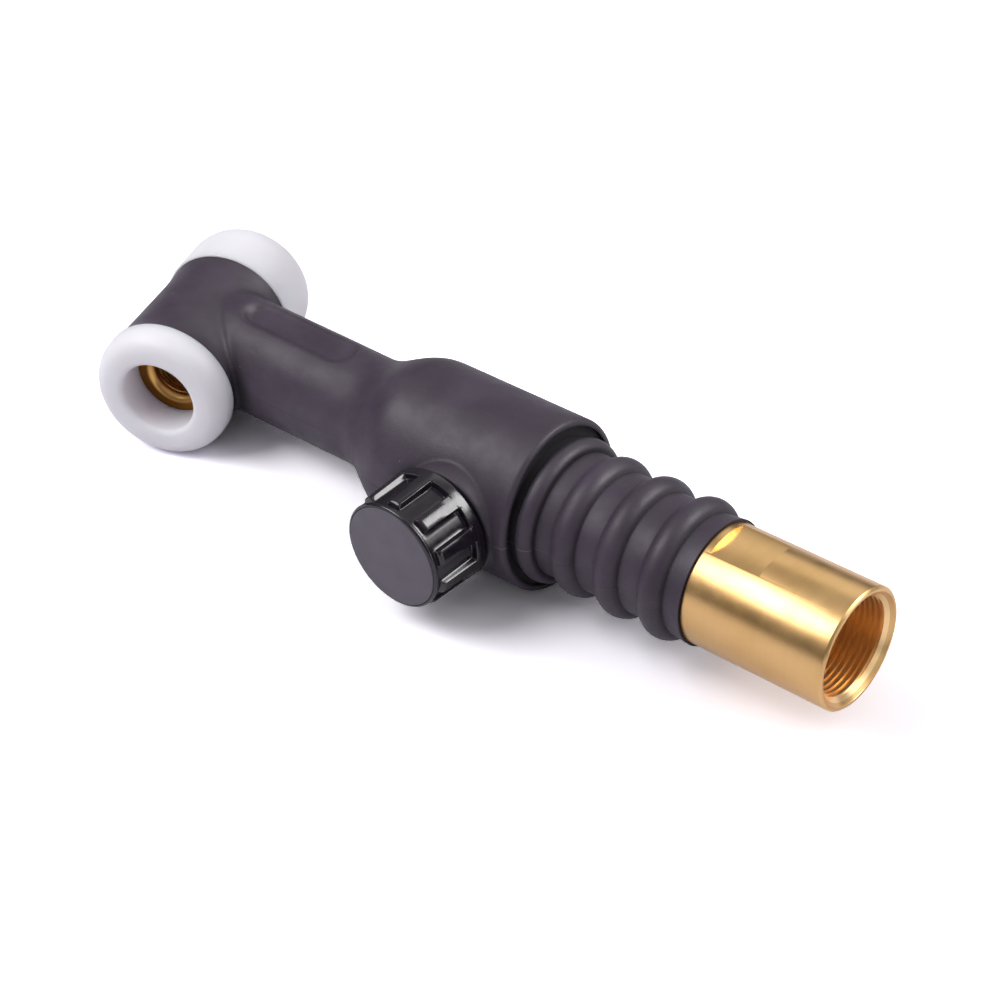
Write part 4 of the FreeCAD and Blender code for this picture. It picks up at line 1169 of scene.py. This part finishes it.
class TORCH_OT_knob(bpy.types.Operator):
    """Valve knob with moulded ribs, and the disc on its face"""

    bl_idname = "torch.knob"
    bl_label = "Valve knob"

    def execute(self, context):
        sizes = context.scene.torch_knob
        colours = context.scene.torch_colours
        knob = self.moulding(sizes)
        finish_piece(knob, gloss_moulding(colours), "valve_knob", "knob")
        disc = turned("knob_disc", self.disc(sizes), VALVE, 256)
        finish_piece(disc, matte_disc(colours), "valve_knob", "knob_cap")
        return {"FINISHED"}

    def disc(self, sizes):
        """Outline of the disc, with the rim behind it that holds it in the knob."""
        front, back = sizes.front + sizes.disc_thickness, sizes.front
        rim, wall, depth = 6.2 * MM, 0.8 * MM, 1 * MM
        return rounded(
            [
                (front, 0),
                (front, sizes.disc_radius, 0.16 * MM),
                (back, sizes.disc_radius, 0.1 * MM),
                (back, rim),
                (back - depth, rim),
                (back - depth, rim - wall),
                (back, rim - wall),
                (back, 0),
            ]
        )

    def moulding(self, sizes):
        """The outside as a fine grid over height and angle, closed by the turned inside."""
        sector = 2 * math.pi / sizes.pockets
        half = sizes.pocket_angle / 2
        wall = sizes.wall / sizes.floor
        rib_step = 0.4 * (sector / 2 - half - wall / 2)
        steps = [-sector / 2, -sector / 2 + rib_step]
        steps += [-half - wall * share for share in BLEND_ROWS]
        steps += [-half * 0.5, 0, half * 0.5]
        steps += [half + wall * share for share in reversed(BLEND_ROWS)]
        steps += [sector / 2 - rib_step]
        angles = [k * sector + step for k in range(sizes.pockets) for step in steps]
        rows = []
        for height in self.heights(sizes):
            rows.append((height, [self.radius(sizes, height, a, sector, half, wall) for a in angles]))
        for height, r in self.inside(sizes):
            rows.append((height, [r] * len(angles)))
        bm = bmesh.new()
        rings = []
        for height, radii in rows:
            around = zip(radii, angles)
            rings.append([bm.verts.new((height, r * math.cos(a), r * math.sin(a))) for r, a in around])
        for first, second in zip(rings, rings[1:] + rings[:1]):
            join_rings(bm, first, second)
        clean(bm)
        return mesh_object("knob_moulding", bm, VALVE, sharp=38)

    def inside(self, sizes):
        """Outline of the disc's seat, the screw's well, its hole and the hollow for the insert."""
        seat, ledge = sizes.front - 0.25 * MM, 8.7 * MM
        well, well_floor = 6.25 * MM, 24.6 * MM
        hole, hollow, hollow_front = 4.2 * MM, 8.2 * MM, 19.2 * MM
        return [
            (sizes.bead_front, sizes.disc_seat),
            (seat, sizes.disc_seat),
            (seat, ledge),
            (sizes.front, ledge),
            (sizes.front, well),
            (well_floor, well),
            (well_floor, hole),
            (hollow_front, hole),
            (hollow_front, hollow),
            (sizes.back, hollow),
        ]

    def heights(self, sizes):
        """Rows of the grid, close together where the surface bends."""
        wall = sizes.wall
        rows = [sizes.back + KNOB_REAR_ROUND * (1 - math.cos(math.radians(90 * i / 5))) for i in range(6)]
        rows += [sizes.flange - 0.5 * wall - 0.4 * MM]
        rows += [sizes.flange - wall * share for share in BLEND_ROWS]
        rows += [sizes.flange + 1.5 * MM, sizes.flange + 4 * MM]
        rows += [sizes.rib_front - KNOB_RIB_ROUND * math.cos(math.radians(90 * i / 9)) for i in range(10)]
        middle = sizes.bead_front - sizes.bead_half
        rows += [middle - sizes.bead_half * math.cos(math.radians(180 * i / 12)) for i in range(13)]
        return rows

    def radius(self, sizes, height, angle, sector, half, wall):
        """Radius of the knob's outside at a height and angle."""
        along = (height - sizes.back) / (sizes.rib_front - sizes.back)
        outer = sizes.back_radius + (sizes.front_radius - sizes.back_radius) * along
        off = abs((angle + sector / 2) % sector - sector / 2)
        rib = eased(min(max((off - half) / wall + 0.5, 0), 1))
        flange = eased(min(max((sizes.flange - height) / sizes.wall + 0.5, 0), 1))
        raised = 1 - (1 - rib) * (1 - flange)
        to_front = (height - (sizes.rib_front - KNOB_RIB_ROUND)) / KNOB_RIB_ROUND
        if to_front > 0:
            raised *= math.sqrt(max(0, 1 - min(to_front, 1) ** 2))
        r = sizes.floor + (outer - sizes.floor) * raised
        to_bead = abs(height - sizes.bead_front + sizes.bead_half) / sizes.bead_half
        r += sizes.bead * math.sqrt(max(0, 1 - to_bead**2))
        to_back = 1 - (height - sizes.back) / KNOB_REAR_ROUND
        if to_back > 0:
            r -= KNOB_REAR_ROUND * (1 - math.sqrt(max(0, 1 - min(to_back, 1) ** 2)))
        return r


class TORCH_OT_fittings(bpy.types.Operator):
    """Finishes of the tubes, valve parts, seals and screws"""

    bl_idname = "torch.fittings"
    bl_label = "Valve and tubes"

    def execute(self, context):
        colours = context.scene.torch_colours
        brass = turned_brass("brass_turned_valve", colours.brass, colours.brass_dark, (60, 1, 60))
        copper = drawn_copper(colours)
        steel = plain_finish("steel_zinc_plated", colours.steel, linear("#8E9196"), 0.32, 1.0)
        seal = plain_finish("nitrile_moulded", colours.seal, linear("#262527"), 0.5)
        fibre = plain_finish("vulcanised_fibre_pressed", colours.fibre, linear("#6A2A1E"), 0.7)
        seat = plain_finish("acetal_turned", colours.seat, linear("#CFCABB"), 0.35)
        for material, names in (
            (copper, ("neck_tube", "rear_tube")),
            (brass, ("valve_body", "gland_bush", "valve_stem", "knob_insert")),
            (seat, ("seat_insert", "thrust_washer")),
            (fibre, ("gland_seal",)),
            (seal, ("stem_o_rings",)),
            (steel, ("retaining_ring", "knob_washer", "knob_screw")),
        ):
            for name in names:
                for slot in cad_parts[name].material_slots:
                    slot.material = material
        return {"FINISHED"}


class TORCH_PT_panel(bpy.types.Panel):
    """Lists the torch's pieces and their sizes"""

    bl_idname = "TORCH_PT_panel"
    bl_label = "TIG torch body"
    bl_space_type = "VIEW_3D"
    bl_region_type = "UI"
    bl_category = "Torch"

    def draw(self, context):
        for operator in OPERATORS:
            self.layout.operator(operator.bl_idname)
        for name, group in SETTINGS.items():
            box = self.layout.box()
            box.label(text=group.__doc__)
            for key in group.__annotations__:
                box.prop(getattr(context.scene, name), key)


OPERATORS = (
    TORCH_OT_studio,
    TORCH_OT_rubber_body,
    TORCH_OT_rings,
    TORCH_OT_connector,
    TORCH_OT_head_core,
    TORCH_OT_knob,
    TORCH_OT_fittings,
)


def register():
    """Registers the groups, operators and panel."""
    for group in (*SETTINGS.values(), *OPERATORS, TORCH_PT_panel):
        bpy.utils.register_class(group)
    for name, group in SETTINGS.items():
        setattr(bpy.types.Scene, name, PointerProperty(type=group))


def unregister():
    """Removes them again."""
    for name in SETTINGS:
        delattr(bpy.types.Scene, name)
    for group in reversed((*SETTINGS.values(), *OPERATORS, TORCH_PT_panel)):
        bpy.utils.unregister_class(group)


def main():
    """Builds the stage and every piece."""
    register()
    bpy.ops.torch.studio()
    bpy.ops.torch.rubber_body()
    bpy.ops.torch.rings()
    bpy.ops.torch.connector()
    bpy.ops.torch.head_core()
    bpy.ops.torch.knob()
    bpy.ops.torch.fittings()


if __name__ == "__main__":
    main()
